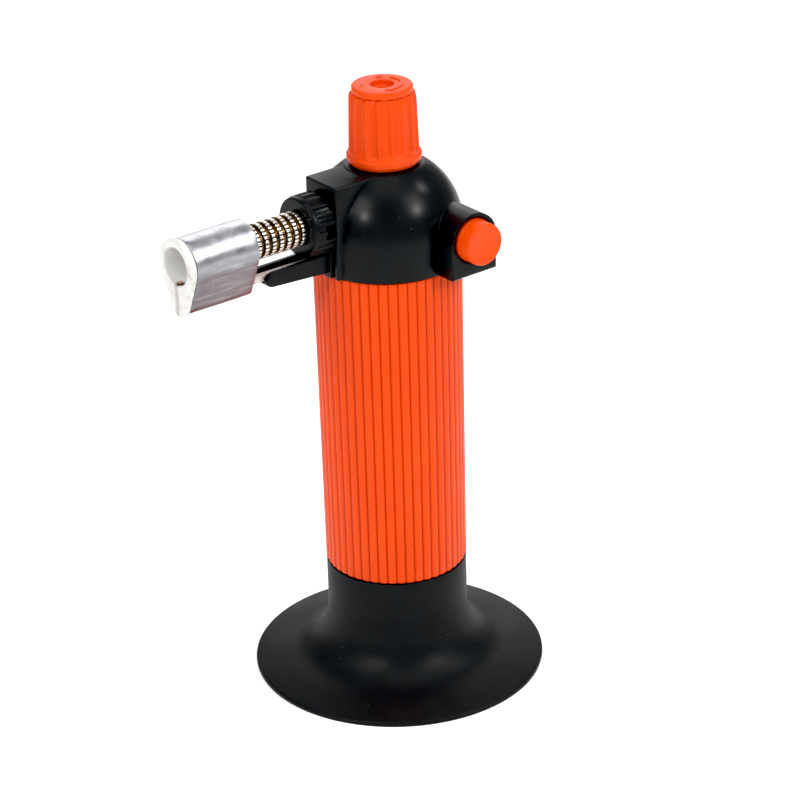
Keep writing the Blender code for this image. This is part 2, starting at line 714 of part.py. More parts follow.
def make_knob():
    flange_top = KNOB_FLANGE_BOTTOM + KNOB_FLANGE_HEIGHT
    middle_r = (KNOB_FOOT_R + KNOB_TOP_R) / 2
    outline = fluted_outline(middle_r, KNOB_FLUTES, KNOB_FLUTE_DEPTH, 0.8)
    knob = plate("gas_knob", [outline], flange_top - PAST / 4, KNOB_TOP, ORANGE)
    taper(knob, flange_top, KNOB_TOP, KNOB_FOOT_R / middle_r, KNOB_TOP_R / middle_r)
    skirt_bottom = DOME_FLAT_Z + TOUCH
    flange = cylinder("knob_flange", KNOB_FLANGE_R, KNOB_FLANGE_BOTTOM, flange_top, home=cutters)
    skirt_top = (KNOB_FLANGE_BOTTOM + flange_top) / 2
    skirt = cylinder("knob_skirt", KNOB_SKIRT_R, skirt_bottom, skirt_top, home=cutters)
    cap_seat_z = CAP_TOP - CAP_HEIGHT - TOUCH
    hub_hole_r = SPINDLE_HUB_R + TOUCH
    inside = turned(
        "knob_inside",
        [
            (0.0, KNOB_TOP + PAST),
            (CAP_R + TOUCH, KNOB_TOP + PAST),
            (CAP_R + TOUCH, cap_seat_z),
            (hub_hole_r, cap_seat_z),
            (hub_hole_r, KNOB_WEB_Z),
            (KNOB_BORE, KNOB_WEB_Z),
            (KNOB_BORE, skirt_bottom - PAST),
            (0.0, skirt_bottom - PAST),
        ],
        None,
        24,
        cutters,
    )
    boolean(knob, flange, "UNION")
    boolean(knob, skirt, "UNION")
    boolean(knob, inside)

    cap_low = CAP_TOP - CAP_HEIGHT
    cap = turned(
        "knob_cap",
        [
            (CAP_R + CAP_LIP - CAP_EDGE, CAP_TOP),
            (CAP_R + CAP_LIP, CAP_TOP - CAP_EDGE),
            (CAP_R + CAP_LIP, KNOB_TOP + TOUCH),
            (CAP_R, KNOB_TOP + TOUCH),
            (CAP_R, cap_low),
            (CAP_HOLE, cap_low),
            (CAP_HOLE, CAP_TOP),
        ],
        ORANGE,
        32,
        closed=True,
    )
    spindle_low = VALVE_SEAT + TOUCH
    spindle = turned(
        "valve_spindle",
        [
            (0.0, SPINDLE_TOP),
            (SPINDLE_HUB_R - 0.3 * MM, SPINDLE_TOP),
            (SPINDLE_HUB_R, SPINDLE_TOP - 0.5 * MM),
            (SPINDLE_HUB_R, KNOB_WEB_Z + 0.2 * MM),
            (SPINDLE_R, KNOB_WEB_Z - 0.6 * MM),
            (SPINDLE_R, spindle_low + 2.0 * MM),
            (0.0, spindle_low),
        ],
        BRASS,
        24,
    )
    return [knob, cap, spindle]


# ---------------------------------------------------------------- gas and burner line


def make_burner_line():
    tube_rear = VALVE_R + 0.6 * MM
    tube_bore = JET_TAIL_R + TOUCH
    hose = tube_profile(GAS_TUBE_R, tube_bore, tube_rear, JET_REAR - TOUCH)
    soft_tube = turned("gas_tube", hose, SLEEVE, 16, closed=True)
    jet = turned(
        "gas_jet",
        [
            (JET_R - JET_EDGE, JET_FRONT),
            (JET_R, JET_FRONT - JET_EDGE),
            (JET_R, JET_REAR),
            (JET_TAIL_R, JET_REAR),
            (JET_TAIL_R, JET_REAR - JET_TAIL),
            (GAS_BORE - 0.1 * MM, JET_REAR - JET_TAIL),
            (GAS_BORE - 0.1 * MM, JET_FRONT),
        ],
        BRASS,
        20,
        closed=True,
    )
    flange_front = BLOCK_FRONT - BLOCK_WALL - TOUCH
    flange_rear = flange_front - HOLDER_FLANGE
    holder_front = BLOCK_FRONT + 0.2 * MM
    holder = turned(
        "jet_holder",
        [
            (HOLDER_R, holder_front),
            (HOLDER_R, flange_front),
            (HOLDER_FLANGE_R, flange_front),
            (HOLDER_FLANGE_R, flange_rear),
            (HOLDER_TAIL_R, flange_rear),
            (HOLDER_TAIL_R, HOLDER_REAR),
            (JET_R + TOUCH, HOLDER_REAR),
            (JET_R + TOUCH, holder_front),
        ],
        BRASS,
        24,
        closed=True,
    )

    barrel_rear = holder_front + TOUCH
    tip_edge = 0.3 * MM
    outer = [(BARREL_TIP_R - tip_edge, BARREL_TIP), (BARREL_TIP_R, BARREL_TIP - tip_edge)]
    fins_start = RING_FRONT + TOUCH
    fins_end = fins_start + (FIN_COUNT - 1) * FIN_PITCH + FIN_WIDTH
    outer.append((BARREL_TIP_R, fins_end + 0.4 * MM))
    outer.append((FIN_ROOT_R, fins_end + 0.4 * MM))
    for i in reversed(range(FIN_COUNT)):
        low = fins_start + i * FIN_PITCH
        high = low + FIN_WIDTH
        outer += [(FIN_ROOT_R, high), (FIN_R, high), (FIN_R, low), (FIN_ROOT_R, low)]
    outer[-1] = (BARREL_REAR_R, fins_start)
    outer.append((BARREL_REAR_R, barrel_rear))
    inner = [(BARREL_BORE, barrel_rear), (BARREL_BORE, BARREL_TIP)]
    barrel = turned("burner_barrel", outer + inner, NICKEL, 20, closed=True)
    air_hole = cylinder("air_holes", AIR_HOLE_R, -FIN_R, FIN_R, steps=12, home=cutters)
    along_y(air_hole, x=RING_REAR + 0.5 * MM, z=BURNER_Z)
    for piece in (soft_tube, jet, holder, barrel):
        along_x(piece)
    boolean(barrel, air_hole)

    flame_front = BARREL_TIP - 1.0 * MM
    flame_rear = flame_front - FLAME_HOLDER_LENGTH
    disc = tube_profile(BARREL_BORE - TOUCH, FLAME_HOLDER_BORE, flame_rear, flame_front)
    flame = turned("flame_holder", disc, STEEL, 20, closed=True)
    along_x(flame)
    return [soft_tube, jet, holder, barrel, flame]


def make_air_ring():
    outline = fluted_outline(RING_R, RING_RIBS, RING_RIB_DEPTH, 0.9)
    disc_rear = RING_FRONT - RING_DISC
    ring = plate("air_ring", [outline], RING_REAR, disc_rear, BLACK)
    along_x(ring)
    disc = cylinder("ring_disc", RING_R, disc_rear - 0.5 * MM, RING_FRONT, home=cutters)
    along_x(disc)
    boolean(ring, disc, "UNION")
    bore_r = BARREL_REAR_R + RUNNING
    bore = cylinder("ring_bore", bore_r, RING_REAR - PAST, RING_FRONT + PAST, home=cutters)
    along_x(bore)
    boolean(ring, bore)
    near = (BARREL_REAR_R - 0.9 * MM, RING_R + PAST)
    for side, reach in (("near", near), ("far", (-near[1], -near[0]))):
        window = box(
            f"ring_window_{side}",
            (RING_REAR - PAST, reach[0], -RING_WINDOW_LOW),
            (RING_REAR + RING_WINDOW, reach[1], RING_WINDOW_HIGH),
            home=cutters,
            origin=(0.0, 0.0, BURNER_Z),
        )
        boolean(ring, window)
    return [ring]


def make_nozzle():
    walls = [pear_outline(), pear_outline(-SHIELD_THICK)]
    shield = plate("nozzle_shield", walls, SHIELD_REAR, SHIELD_FRONT, ALUMINIUM)
    lip_rear = SHIELD_FRONT + TOUCH
    lip = [pear_outline(NOZZLE_LIP_OUT)]
    body = plate("ceramic_nozzle", lip, lip_rear, NOZZLE_FACE, CERAMIC)
    inner = [pear_outline(-SHIELD_THICK - TOUCH)]
    core_rear = SHIELD_REAR + 0.5 * MM
    core = plate("nozzle_core", inner, core_rear, lip_rear + 0.8 * MM, home=cutters)
    for piece in (shield, body, core):
        along_x(piece)
    rear = SHIELD_REAR - PAST
    bore = cylinder("nozzle_bore", NOZZLE_BORE, rear, NOZZLE_FACE + PAST, home=cutters)
    along_x(bore)
    tunnel_r = ELECTRODE_TUBE_R + TOUCH
    tunnel_front = SPARK_X + ELECTRODE_WIRE_R + TOUCH
    tunnel = cylinder("nozzle_tunnel", tunnel_r, rear, tunnel_front, steps=16, home=cutters)
    along_x(tunnel, z=ELECTRODE_Z)
    spark = cylinder("spark_hole", SPARK_HOLE_R, ELECTRODE_Z, BURNER_Z, steps=12, home=cutters)
    spark.location = (SPARK_X, 0.0, 0.0)
    boolean(body, core, "UNION")
    for cutter in (bore, tunnel, spark):
        boolean(body, cutter)
    return [shield, body]


# ---------------------------------------------------------------- electrode and ignition


def make_electrode():
    base_rear = NECK_R + 2 * TOUCH
    base = box(
        "electrode_guide",
        (base_rear, -GUIDE_BASE_HALF, HEAD_BOTTOM + TOUCH),
        (BLOCK_FRONT + 0.6 * MM, GUIDE_BASE_HALF, GUIDE_TOP + 1.4 * MM),
        BLACK,
    )
    root = BLOCK_FRONT - 1.0 * MM
    side = [(root, GUIDE_TOP + 0.3 * MM), (GUIDE_TIP - 2.0 * MM, GUIDE_TOP)]
    side += arc(GUIDE_TIP - GUIDE_NOSE_R, ELECTRODE_Z - 0.2 * MM, GUIDE_NOSE_R, 60, -90, 6)
    side.append((root, ELECTRODE_Z - GUIDE_DROP))
    arm = plate("guide_arm", [side], -GUIDE_HALF, GUIDE_HALF, home=cutters)
    arm.rotation_euler = (math.pi / 2, 0.0, 0.0)
    half = GUIDE_HALF - GUIDE_WALL
    channel = box(
        "guide_channel",
        (BLOCK_FRONT + 1.2 * MM, -half, ELECTRODE_Z - ELECTRODE_TUBE_R - TOUCH),
        (GUIDE_TIP + PAST, half, GUIDE_TOP + PAST),
        home=cutters,
    )
    passage_r = ELECTRODE_TUBE_R + TOUCH
    front = BLOCK_FRONT + PAST
    passage = cylinder("guide_passage", passage_r, base_rear - PAST, front, steps=16, home=cutters)
    along_x(passage, z=ELECTRODE_Z)
    boolean(base, arm, "UNION")
    boolean(base, channel)
    boolean(base, passage)

    sleeve_rear = base_rear + 2.0 * MM
    sleeve_front = SHIELD_REAR + 5.0 * MM
    sleeve = tube_profile(ELECTRODE_TUBE_R, ELECTRODE_WIRE_R + TOUCH, sleeve_rear, sleeve_front)
    tube = turned("electrode_tube", sleeve, SLEEVE, 16, closed=True)
    along_x(tube, z=ELECTRODE_Z)

    lid_clear = NECK_TOP + 3.0 * MM
    corners = [
        (BUTTON_X + 1.0 * MM, PIEZO_REAR - TOUCH, BUTTON_Z),
        (BUTTON_X + 2.0 * MM, PIEZO_REAR - 2.2 * MM, lid_clear),
        (VALVE_COLLAR_R, PIEZO_REAR + 2.0 * MM, lid_clear),
        (base_rear - 3.5 * MM, -1.0 * MM, lid_clear),
        (base_rear + 1.5 * MM, 0.0, ELECTRODE_Z),
        (SPARK_X - 0.8 * MM, 0.0, ELECTRODE_Z),
        (SPARK_X, 0.0, ELECTRODE_Z + 1.4 * MM),
        (SPARK_X, 0.0, BURNER_Z - NOZZLE_BORE + 0.7 * MM),
    ]
    lead = wire("electrode_wire", rounded_route(corners), ELECTRODE_WIRE_R, COPPER)
    return [base, tube, lead]


def make_piezo():
    place = (BUTTON_X, 0.0, BUTTON_Z)
    case = box(
        "piezo_case",
        (-PIEZO_HALF_X, PIEZO_REAR, -PIEZO_HALF_Z),
        (PIEZO_HALF_X, PIEZO_FRONT, PIEZO_HALF_Z),
        PIEZO_BLUE,
        origin=place,
    )
    chamber = box(
        "piezo_chamber",
        (-PLUNGER_HALF_X - TOUCH, PIEZO_REAR + PIEZO_WALL, -PLUNGER_HALF_Z - TOUCH),
        (PLUNGER_HALF_X + TOUCH, PIEZO_FRONT + PAST, PLUNGER_HALF_Z + TOUCH),
        home=cutters,
        origin=place,
    )
    boolean(case, chamber)
    crystal_rear = PIEZO_REAR + PIEZO_WALL + TOUCH
    crystal_front = crystal_rear + CRYSTAL_LENGTH
    crystal = cylinder("piezo_crystal", CRYSTAL_R, crystal_rear, crystal_front, PIEZO_GREY, 20)
    along_y(crystal)
    lead_gap = TOUCH + EARTH_WIRE_R
    corners = [
        (BUTTON_X + 2.0 * MM, PIEZO_REAR + 3.0 * MM, BUTTON_Z + PIEZO_HALF_Z + lead_gap),
        (BUTTON_X + 3.0 * MM, PIEZO_REAR + 2.0 * MM, BURNER_Z + 2.5 * MM),
        (VALVE_COLLAR_R, PIEZO_REAR + 4.5 * MM, BURNER_Z + 4.5 * MM),
        (HOLDER_REAR + 2.0 * MM, 0.0, BURNER_Z + HOLDER_TAIL_R + lead_gap),
    ]
    lead = wire("earth_lead", rounded_route(corners), EARTH_WIRE_R, COPPER)

    plunger = box(
        "piezo_plunger",
        (-PLUNGER_HALF_X, PLUNGER_REAR, -PLUNGER_HALF_Z),
        (PLUNGER_HALF_X, BUTTON_FACE - BUTTON_SKIN - TOUCH, PLUNGER_HALF_Z),
        BLACK,
        origin=place,
    )
    spring_rear = crystal_front + TOUCH + BUTTON_TRAVEL
    spring_front = PLUNGER_REAR - SPRING_END
    spring_r = CRYSTAL_R - 0.1 * MM
    spring = coil("piezo_spring", spring_r, SPRING_WIRE_R, spring_rear, spring_front, 5, STEEL)
    along_y(spring)
    button_rear = NECK_R + BUTTON_TRAVEL + TOUCH  # clears the tank's lid when pressed
    edge = 0.5 * MM
    button = turned(
        "ignition_button",
        [
            (0.0, BUTTON_FACE - 0.15 * MM),
            (BUTTON_R - 1.2 * MM, BUTTON_FACE),
            (BUTTON_R - edge, BUTTON_FACE),
            (BUTTON_R, BUTTON_FACE - edge),
            (BUTTON_R, button_rear),
            (BUTTON_HOLLOW_R, button_rear),
            (BUTTON_HOLLOW_R, BUTTON_FACE - BUTTON_SKIN),
            (0.0, BUTTON_FACE - BUTTON_SKIN),
        ],
        ORANGE,
        32,
    )
    along_y(button)
    return [case, crystal, lead], [plunger, spring, button]


def empty(name, place):
    made = bpy.data.objects.new(name, None)
    made.location = place
    parts.objects.link(made)
    return made


def group(name, place, pieces):
    """Parents the pieces to an empty on their joint's axis, leaving them where they are."""
    pivot = empty(name, place)
    bpy.context.view_layer.update()
    for piece in pieces:
        matrix = piece.matrix_world.copy()
        piece.parent = pivot
        piece.matrix_parent_inverse = pivot.matrix_world.inverted()
        piece.matrix_world = matrix


valve_fixed, valve_moving = make_refill_valve()
piezo_fixed, piezo_moving = make_piezo()
group("stand_pivot", (0.0, 0.0, 0.0), make_stand())
torch = make_tank() + make_lid() + valve_fixed + make_head() + make_outlet_valve()
torch += make_burner_line() + make_nozzle() + make_electrode() + piezo_fixed
group("torch_pivot", (0.0, 0.0, CUP_FLOOR), torch)
group("knob_pivot", (0.0, 0.0, DOME_FLAT_Z), make_knob())
group("ring_pivot", (RING_REAR, 0.0, BURNER_Z), make_air_ring())
group("button_pivot", (BUTTON_X, BOSS_FACE, BUTTON_Z), piezo_moving)
group("stem_pivot", (0.0, 0.0, REFILL_BOTTOM), valve_moving)
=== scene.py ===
"""Looks of the butane torch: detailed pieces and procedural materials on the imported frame.

Lengths are in metres, in the frame's axes: Z up the tank, the flame leaves along +X and the
ignition button faces +Y. Places come from the frame's boxes, fine detail from named sizes.
"""

import json
import math

import bmesh
import bpy
from mathutils import Matrix, Vector


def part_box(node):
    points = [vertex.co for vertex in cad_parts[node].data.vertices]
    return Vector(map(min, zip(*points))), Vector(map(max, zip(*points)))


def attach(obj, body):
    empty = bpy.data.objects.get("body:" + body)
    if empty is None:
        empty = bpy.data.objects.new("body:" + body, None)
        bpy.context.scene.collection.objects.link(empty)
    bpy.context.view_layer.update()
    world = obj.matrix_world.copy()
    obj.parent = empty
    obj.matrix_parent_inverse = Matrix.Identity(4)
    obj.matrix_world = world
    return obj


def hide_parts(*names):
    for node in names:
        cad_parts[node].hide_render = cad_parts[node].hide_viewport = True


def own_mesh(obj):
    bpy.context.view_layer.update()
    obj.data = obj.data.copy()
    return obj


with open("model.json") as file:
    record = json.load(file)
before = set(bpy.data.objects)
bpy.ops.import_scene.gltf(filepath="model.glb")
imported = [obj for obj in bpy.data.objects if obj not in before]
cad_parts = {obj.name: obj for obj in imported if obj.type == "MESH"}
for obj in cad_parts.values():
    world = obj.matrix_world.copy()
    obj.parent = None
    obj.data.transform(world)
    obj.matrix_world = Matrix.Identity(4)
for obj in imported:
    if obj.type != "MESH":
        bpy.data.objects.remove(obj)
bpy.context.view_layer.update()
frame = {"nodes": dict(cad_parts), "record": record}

MM = 0.001
GAP = 0.3 * MM  # between pieces that meet
PAST = 2.0 * MM  # how far a cutter runs past the face it opens
SHARP = 35.0  # edges turned by more degrees than this stay crisp
SHARP_TEETH = 40.0  # the same on fluted and toothed pieces
SHARP_RIBS = 50.0  # and on the ribbed column


def low(node):
    """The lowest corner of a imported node's box."""
    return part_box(node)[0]


def high(node):
    """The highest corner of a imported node's box."""
    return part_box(node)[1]


# Sizes read from the frame
STAND_R = high("stand_base")[0]
COLLAR_TOP = high("stand_base")[2]
TANK_R = high("fuel_tank")[0]
TANK_FOOT = low("fuel_tank")[2]
TANK_SHOULDER = low("head_housing")[2] - GAP
NECK_TOP = high("fuel_tank")[2]
HEAD_LOW = low("head_housing")[2]
HEAD_TOP = high("head_housing")[2]
HEAD_R = -low("head_housing")[0]
BLOCK_FRONT = high("head_housing")[0]
BOSS_FACE = high("head_housing")[1]
BURNER_Z = (low("burner_barrel")[2] + high("burner_barrel")[2]) / 2
RING_REAR = low("air_ring")[0]
RING_FRONT = high("air_ring")[0]
RING_R = high("air_ring")[1]
BARREL_REAR = low("burner_barrel")[0]
BARREL_TIP = high("burner_barrel")[0]
FIN_R = high("burner_barrel")[1]
SHIELD_REAR = low("nozzle_shield")[0]
SHIELD_FRONT = high("nozzle_shield")[0]
SHIELD_R = high("nozzle_shield")[1]
NOZZLE_FACE = high("ceramic_nozzle")[0]
TUBE_Z = (low("electrode_tube")[2] + high("electrode_tube")[2]) / 2
TUBE_R = high("electrode_tube")[1]
GUIDE_REAR = low("electrode_guide")[0]
GUIDE_LOW = low("electrode_guide")[2]
GUIDE_TIP = high("electrode_guide")[0]
BUTTON_X = (low("ignition_button")[0] + high("ignition_button")[0]) / 2
BUTTON_Z = (low("ignition_button")[2] + high("ignition_button")[2]) / 2
BUTTON_R = high("ignition_button")[2] - BUTTON_Z
BUTTON_REAR = low("ignition_button")[1]
BUTTON_FACE = high("ignition_button")[1]
KNOB_LOW = low("gas_knob")[2]
KNOB_TOP = high("gas_knob")[2]
KNOB_FLANGE_R = high("gas_knob")[0]
CAP_LIP_R = high("knob_cap")[0]
CAP_LOW = low("knob_cap")[2]
CAP_TOP = high("knob_cap")[2]

# Stand
RIM = 1.2 * MM
STAND_WALL = 1.5 * MM
COLLAR_R = TANK_R - 0.5 * MM
BRIM_SLOPE = 0.25
FILLET_TOP = 18.0 * MM
FILLET_REACH = 0.485 * (STAND_R - COLLAR_R)
FILLET_FOOT = RIM + BRIM_SLOPE * (STAND_R - COLLAR_R - FILLET_REACH)
CUP_FLOOR = TANK_FOOT - GAP
CUP_FLOOR_THICK = 2.0 * MM
CUP_HOLE_R = 9.0 * MM

# Tank
RIBS = 48
RIB_DEPTH = 0.6 * MM
TANK_TAPER = 0.42 * MM
TANK_WALL = 1.7 * MM
TANK_FLOOR = TANK_FOOT + 2.5 * MM
REFILL_PORT_R = 4.3 * MM
NECK_R = HEAD_R - 2.7 * MM
SEAM_TURN = math.radians(44.0)
SEAM_WIDTH = 0.22 * MM
SEAM_RAISE = 0.12 * MM

# Head
DOME_Z = HEAD_LOW + 8.1 * MM
HEAD_WALL = 1.7 * MM
BLOCK_WALL = 1.6 * MM
BLOCK_HALF = 6.1 * MM
BLOCK_INNER_HALF = 4.5 * MM
BLOCK_TOP = HEAD_TOP - 0.4 * MM
BLOCK_INNER_FRONT = BLOCK_FRONT - BLOCK_WALL
BLOCK_REAR = -4.0 * MM
BLOCK_LOW = HEAD_LOW + 0.02 * MM  # just off the dome's rim, so that no faces share a plane
BOSS_HALF = 6.95 * MM
BOSS_ROOT = 5.0 * MM
VALVE_HOLE_R = 4.2 * MM
BUTTON_PLAY = 0.12 * MM
SOFT_EDGE = 0.45 * MM

# Knob and cap
FLUTES = 16
FLUTE_DEPTH = 0.8 * MM
FLUTE_FADE = 0.9 * MM
FLANGE_LOW = HEAD_TOP + 1.1 * MM
FLANGE_HIGH = FLANGE_LOW + 1.9 * MM
FLUTE_FOOT = FLANGE_HIGH + 0.5 * MM
KNOB_FOOT_R = KNOB_FLANGE_R - 0.55 * MM
KNOB_TOP_R = KNOB_FOOT_R - 0.45 * MM
KNOB_BORE = KNOB_FOOT_R - 1.95 * MM
KNOB_WEB = FLANGE_LOW + 4.7 * MM
HUB_HOLE = 2.2 * MM
CAP_R = CAP_LIP_R - 0.45 * MM
CAP_HOLE = 2.9 * MM
MARK_RAISE = 0.25 * MM
MARK_EDGE = 0.06 * MM
MARK_R = 4.9 * MM
BRIDGES = 10
BRIDGE_HALF = 0.5 * MM

# Burner
RING_RIBS = 20
RING_RIB_DEPTH = 0.6 * MM
RING_DISC = 1.3 * MM
RING_WINDOW = 2.7 * MM
BARREL_R = 3.9 * MM
BARREL_BORE = 2.6 * MM
FIN_ROOT_R = 3.75 * MM
FIN_COUNT = 7
FIN_PITCH = 2.2 * MM
FIN_WIDTH = 1.3 * MM
FIN_TEETH = 26
TOOTH_DEPTH = 0.5 * MM
TIP_R = 4.2 * MM
AIR_HOLE_R = 0.55 * MM
SHIELD_FOOT_R = 2.6 * MM
SHIELD_DROP = 10.3 * MM
SHIELD_THICK = 0.5 * MM
NOZZLE_BORE = 4.8 * MM
LIP_OUT = 0.3 * MM
SPARK_X = SHIELD_FRONT + 0.8 * MM
SPARK_HOLE_R = 0.8 * MM
GUIDE_TOP = TUBE_Z + 1.7 * MM
GUIDE_HALF = 3.1 * MM
GUIDE_BASE_HALF = 3.9 * MM
GUIDE_WALL = 1.2 * MM
GUIDE_NOSE = 1.7 * MM
SLEEVE_BORE = 0.65 * MM

# Refill valve
NIPPLE_R = 4.0 * MM
NIPPLE_FLANGE_R = 5.6 * MM
NIPPLE_MOUTH_R = 2.6 * MM
CHAMBER_R = 2.8 * MM
CHAMBER_ROOF = 1.3 * MM
GAS_HOLE_R = 0.8 * MM
STEM_R = 1.5 * MM
STEM_COLLAR_R = 2.4 * MM
STEM_COLLAR_HIGH = 1.2 * MM
STEM_TOP_R = 1.0 * MM
SPRING_TURNS = 6
SPRING_WIRE_R = 0.25 * MM

# Stage
FLOOR_SIZE = 8.0
FLOOR_GLOW = 0.34
ROOM_LIGHT = 0.30
BLACK_LEVEL = 0.009
LIGHT_AIM = Vector((0.0, 0.0, 0.09))
CAMERA_SENSOR = 36.0
CAMERA_LENS = 131.5
CAMERA_BEARING = math.radians(52.73)
CAMERA_DISTANCE = 0.6748
CAMERA_HEIGHT = 0.4018
CAMERA_TURN = math.radians(142.55)
CAMERA_TILT = math.radians(64.13)
CAMERA_ROLL = math.radians(-1.70)


# ---------------------------------------------------------------- materials


class Surface:
    """A Principled material with object-space textures added step by step."""

    def __init__(self, name, colour, roughness, metallic=0.0):
        self.material = bpy.data.materials.new(name)
        self.material.use_nodes = True
        self.nodes = self.material.node_tree.nodes
        self.links = self.material.node_tree.links
        self.shader = self.nodes["Principled BSDF"]
        self.colour = (*colour, 1.0)
        self.normal = None
        self.place = self.nodes.new("ShaderNodeTexCoord").outputs["Object"]
        self.set("Roughness", roughness)
        self.set("Metallic", metallic)

    def feed(self, socket, source):
        """Links another node's output to a socket, or sets the socket's own value."""
        if isinstance(source, bpy.types.NodeSocket):
            self.links.new(source, socket)
        else:
            socket.default_value = source

    def set(self, name, source):
        self.feed(self.shader.inputs[name], source)

    def stretched(self, scale):
        """Object coordinates scaled unevenly along X, Y and Z."""
        mapping = self.nodes.new("ShaderNodeMapping")
        mapping.inputs["Scale"].default_value = scale
        self.links.new(self.place, mapping.inputs["Vector"])
        return mapping.outputs["Vector"]

    def noise(self, scale, detail=3.0, stretch=None, rough=0.55):
        texture = self.nodes.new("ShaderNodeTexNoise")
        texture.inputs["Scale"].default_value = scale
        texture.inputs["Detail"].default_value = detail
        texture.inputs["Roughness"].default_value = rough
        source = self.stretched(stretch) if stretch else self.place
        self.links.new(source, texture.inputs["Vector"])
        return texture.outputs["Fac"]

    def cells(self, scale):
        """Distance from the nearest of many scattered points."""
        texture = self.nodes.new("ShaderNodeTexVoronoi")
        texture.inputs["Scale"].default_value = scale
        self.links.new(self.place, texture.inputs["Vector"])
        return texture.outputs["Distance"]

    def axis(self, name):
        split = self.nodes.new("ShaderNodeSeparateXYZ")
        self.links.new(self.place, split.inputs["Vector"])
        return split.outputs[name]

    def spread(self, value, start, end, low_out=0.0, high_out=1.0):
        """Maps a value from start..end onto low_out..high_out, clamped."""
        mapped = self.nodes.new("ShaderNodeMapRange")
        mapped.inputs["From Min"].default_value = start
        mapped.inputs["From Max"].default_value = end
        mapped.inputs["To Min"].default_value = low_out
        mapped.inputs["To Max"].default_value = high_out
        self.links.new(value, mapped.inputs["Value"])
        return mapped.outputs["Result"]

    def maths(self, kind, first, second=0.0):
        made = self.nodes.new("ShaderNodeMath")
        made.operation = kind
        self.feed(made.inputs[0], first)
        self.feed(made.inputs[1], second)
        return made.outputs["Value"]

    def product(self, first, *others):
        for other in others:
            first = self.maths("MULTIPLY", first, other)
        return first

    def distance(self, first, second):
        """Length of two coordinates taken at right angles."""
        squares = self.maths("ADD", self.product(first, first), self.product(second, second))
        return self.maths("SQRT", squares)

    def tint(self, colour, mask):
        """Lays a colour over what is there, by a mask of 0 to 1."""
        mix = self.nodes.new("ShaderNodeMix")
        mix.data_type = "RGBA"
        self.feed(mix.inputs["Factor"], mask)
        self.feed(mix.inputs["A"], self.colour)
        self.feed(mix.inputs["B"], (*colour, 1.0))
        self.colour = mix.outputs["Result"]

    def soften(self, radius):
        """Shades sharp edges as if they were rounded."""
        edges = self.nodes.new("ShaderNodeBevel")
        edges.samples = 4
        edges.inputs["Radius"].default_value = radius
        self.normal = edges.outputs["Normal"]

    def bump(self, value, strength, distance):
        made = self.nodes.new("ShaderNodeBump")
        made.inputs["Strength"].default_value = strength
        made.inputs["Distance"].default_value = distance
        self.links.new(value, made.inputs["Height"])
        if self.normal:
            self.links.new(self.normal, made.inputs["Normal"])
        self.normal = made.outputs["Normal"]

    def done(self):
        self.set("Base Color", self.colour)
        if self.normal:
            self.set("Normal", self.normal)
        return self.material


def black_plastic():
    """Moulded plastic with dust specks and fine scratches, duller below the collar's top."""
    made = Surface("black_plastic_look", (0.0040, 0.0052, 0.0062), 0.36)
    made.tint((0.0060, 0.0078, 0.0092), made.spread(made.noise(160.0, 4.0), 0.35, 0.7))
    wear = 0.35
    specks = made.spread(made.cells(700.0), 0.05, 0.09, 1.0, 0.0)
    dusty = made.spread(made.noise(230.0, 2.0), 0.62, 0.66)
    made.tint((0.45, 0.45, 0.45), made.product(specks, dusty, wear))
    lines = made.noise(90.0, 2.0, (1.0, 14.0, 5.0))
    off_line = made.maths("ABSOLUTE", made.maths("SUBTRACT", lines, 0.5))
    scratches = made.spread(off_line, 0.0, 0.004, 1.0, 0.0)
    scuffed = made.spread(made.noise(60.0, 2.0), 0.56, 0.66)
    made.tint((0.06, 0.065, 0.07), made.product(scratches, scuffed, wear))
    satin = made.spread(made.axis("Z"), COLLAR_TOP, COLLAR_TOP + MM, 0.17, 0.0)
    made.set("Roughness", made.maths("ADD", made.spread(made.noise(90.0, 5.0), 0.3, 0.75, 0.24, 0.33), satin))
    made.soften(SOFT_EDGE)
    made.bump(made.noise(2600.0, 2.0), 0.10, 0.05 * MM)
    made.bump(made.noise(120.0, 2.0), 0.05, 0.3 * MM)
    made.set("Specular IOR Level", 0.15)
    return made.done()


def orange_plastic():
    """Glossy plastic, with painted shade darkening the valleys between the tank's ribs."""
    made = Surface("orange_plastic_look", (0.78, 0.060, 0.0010), 0.42)
    made.tint((0.84, 0.075, 0.0015), made.spread(made.noise(70.0, 4.0), 0.35, 0.7, 0.0, 0.7))
    made.tint((0.70, 0.045, 0.003), made.spread(made.noise(900.0, 3.0), 0.60, 0.80, 0.0, 0.25))
    # Painted shade: the valleys between the tank's ribs are darkened by their depth below the ribs' crests.
    crest = made.spread(made.axis("Z"), COLLAR_TOP, TANK_SHOULDER, TANK_R - TANK_TAPER, TANK_R)
    depth = made.maths("SUBTRACT", crest, made.distance(made.axis("X"), made.axis("Y")))
    painted_valley_shade = made.spread(depth, 0.10 * MM, 0.50 * MM, 0.0, 0.6)
    column = made.spread(depth, 0.8 * MM, 0.9 * MM, 1.0, 0.0)
    made.tint((0.42, 0.022, 0.001), made.product(painted_valley_shade, column))
    made.set("Roughness", made.spread(made.noise(140.0, 4.0), 0.3, 0.7, 0.36, 0.50))
    made.bump(made.noise(3000.0, 2.0), 0.10, 0.05 * MM)
    made.set("Specular IOR Level", 0.22)
    made.set("Subsurface Weight", 0.12)
    made.set("Subsurface Radius", (1.0, 0.25, 0.08))
    made.set("Subsurface Scale", 1.2 * MM)
    return made.done()


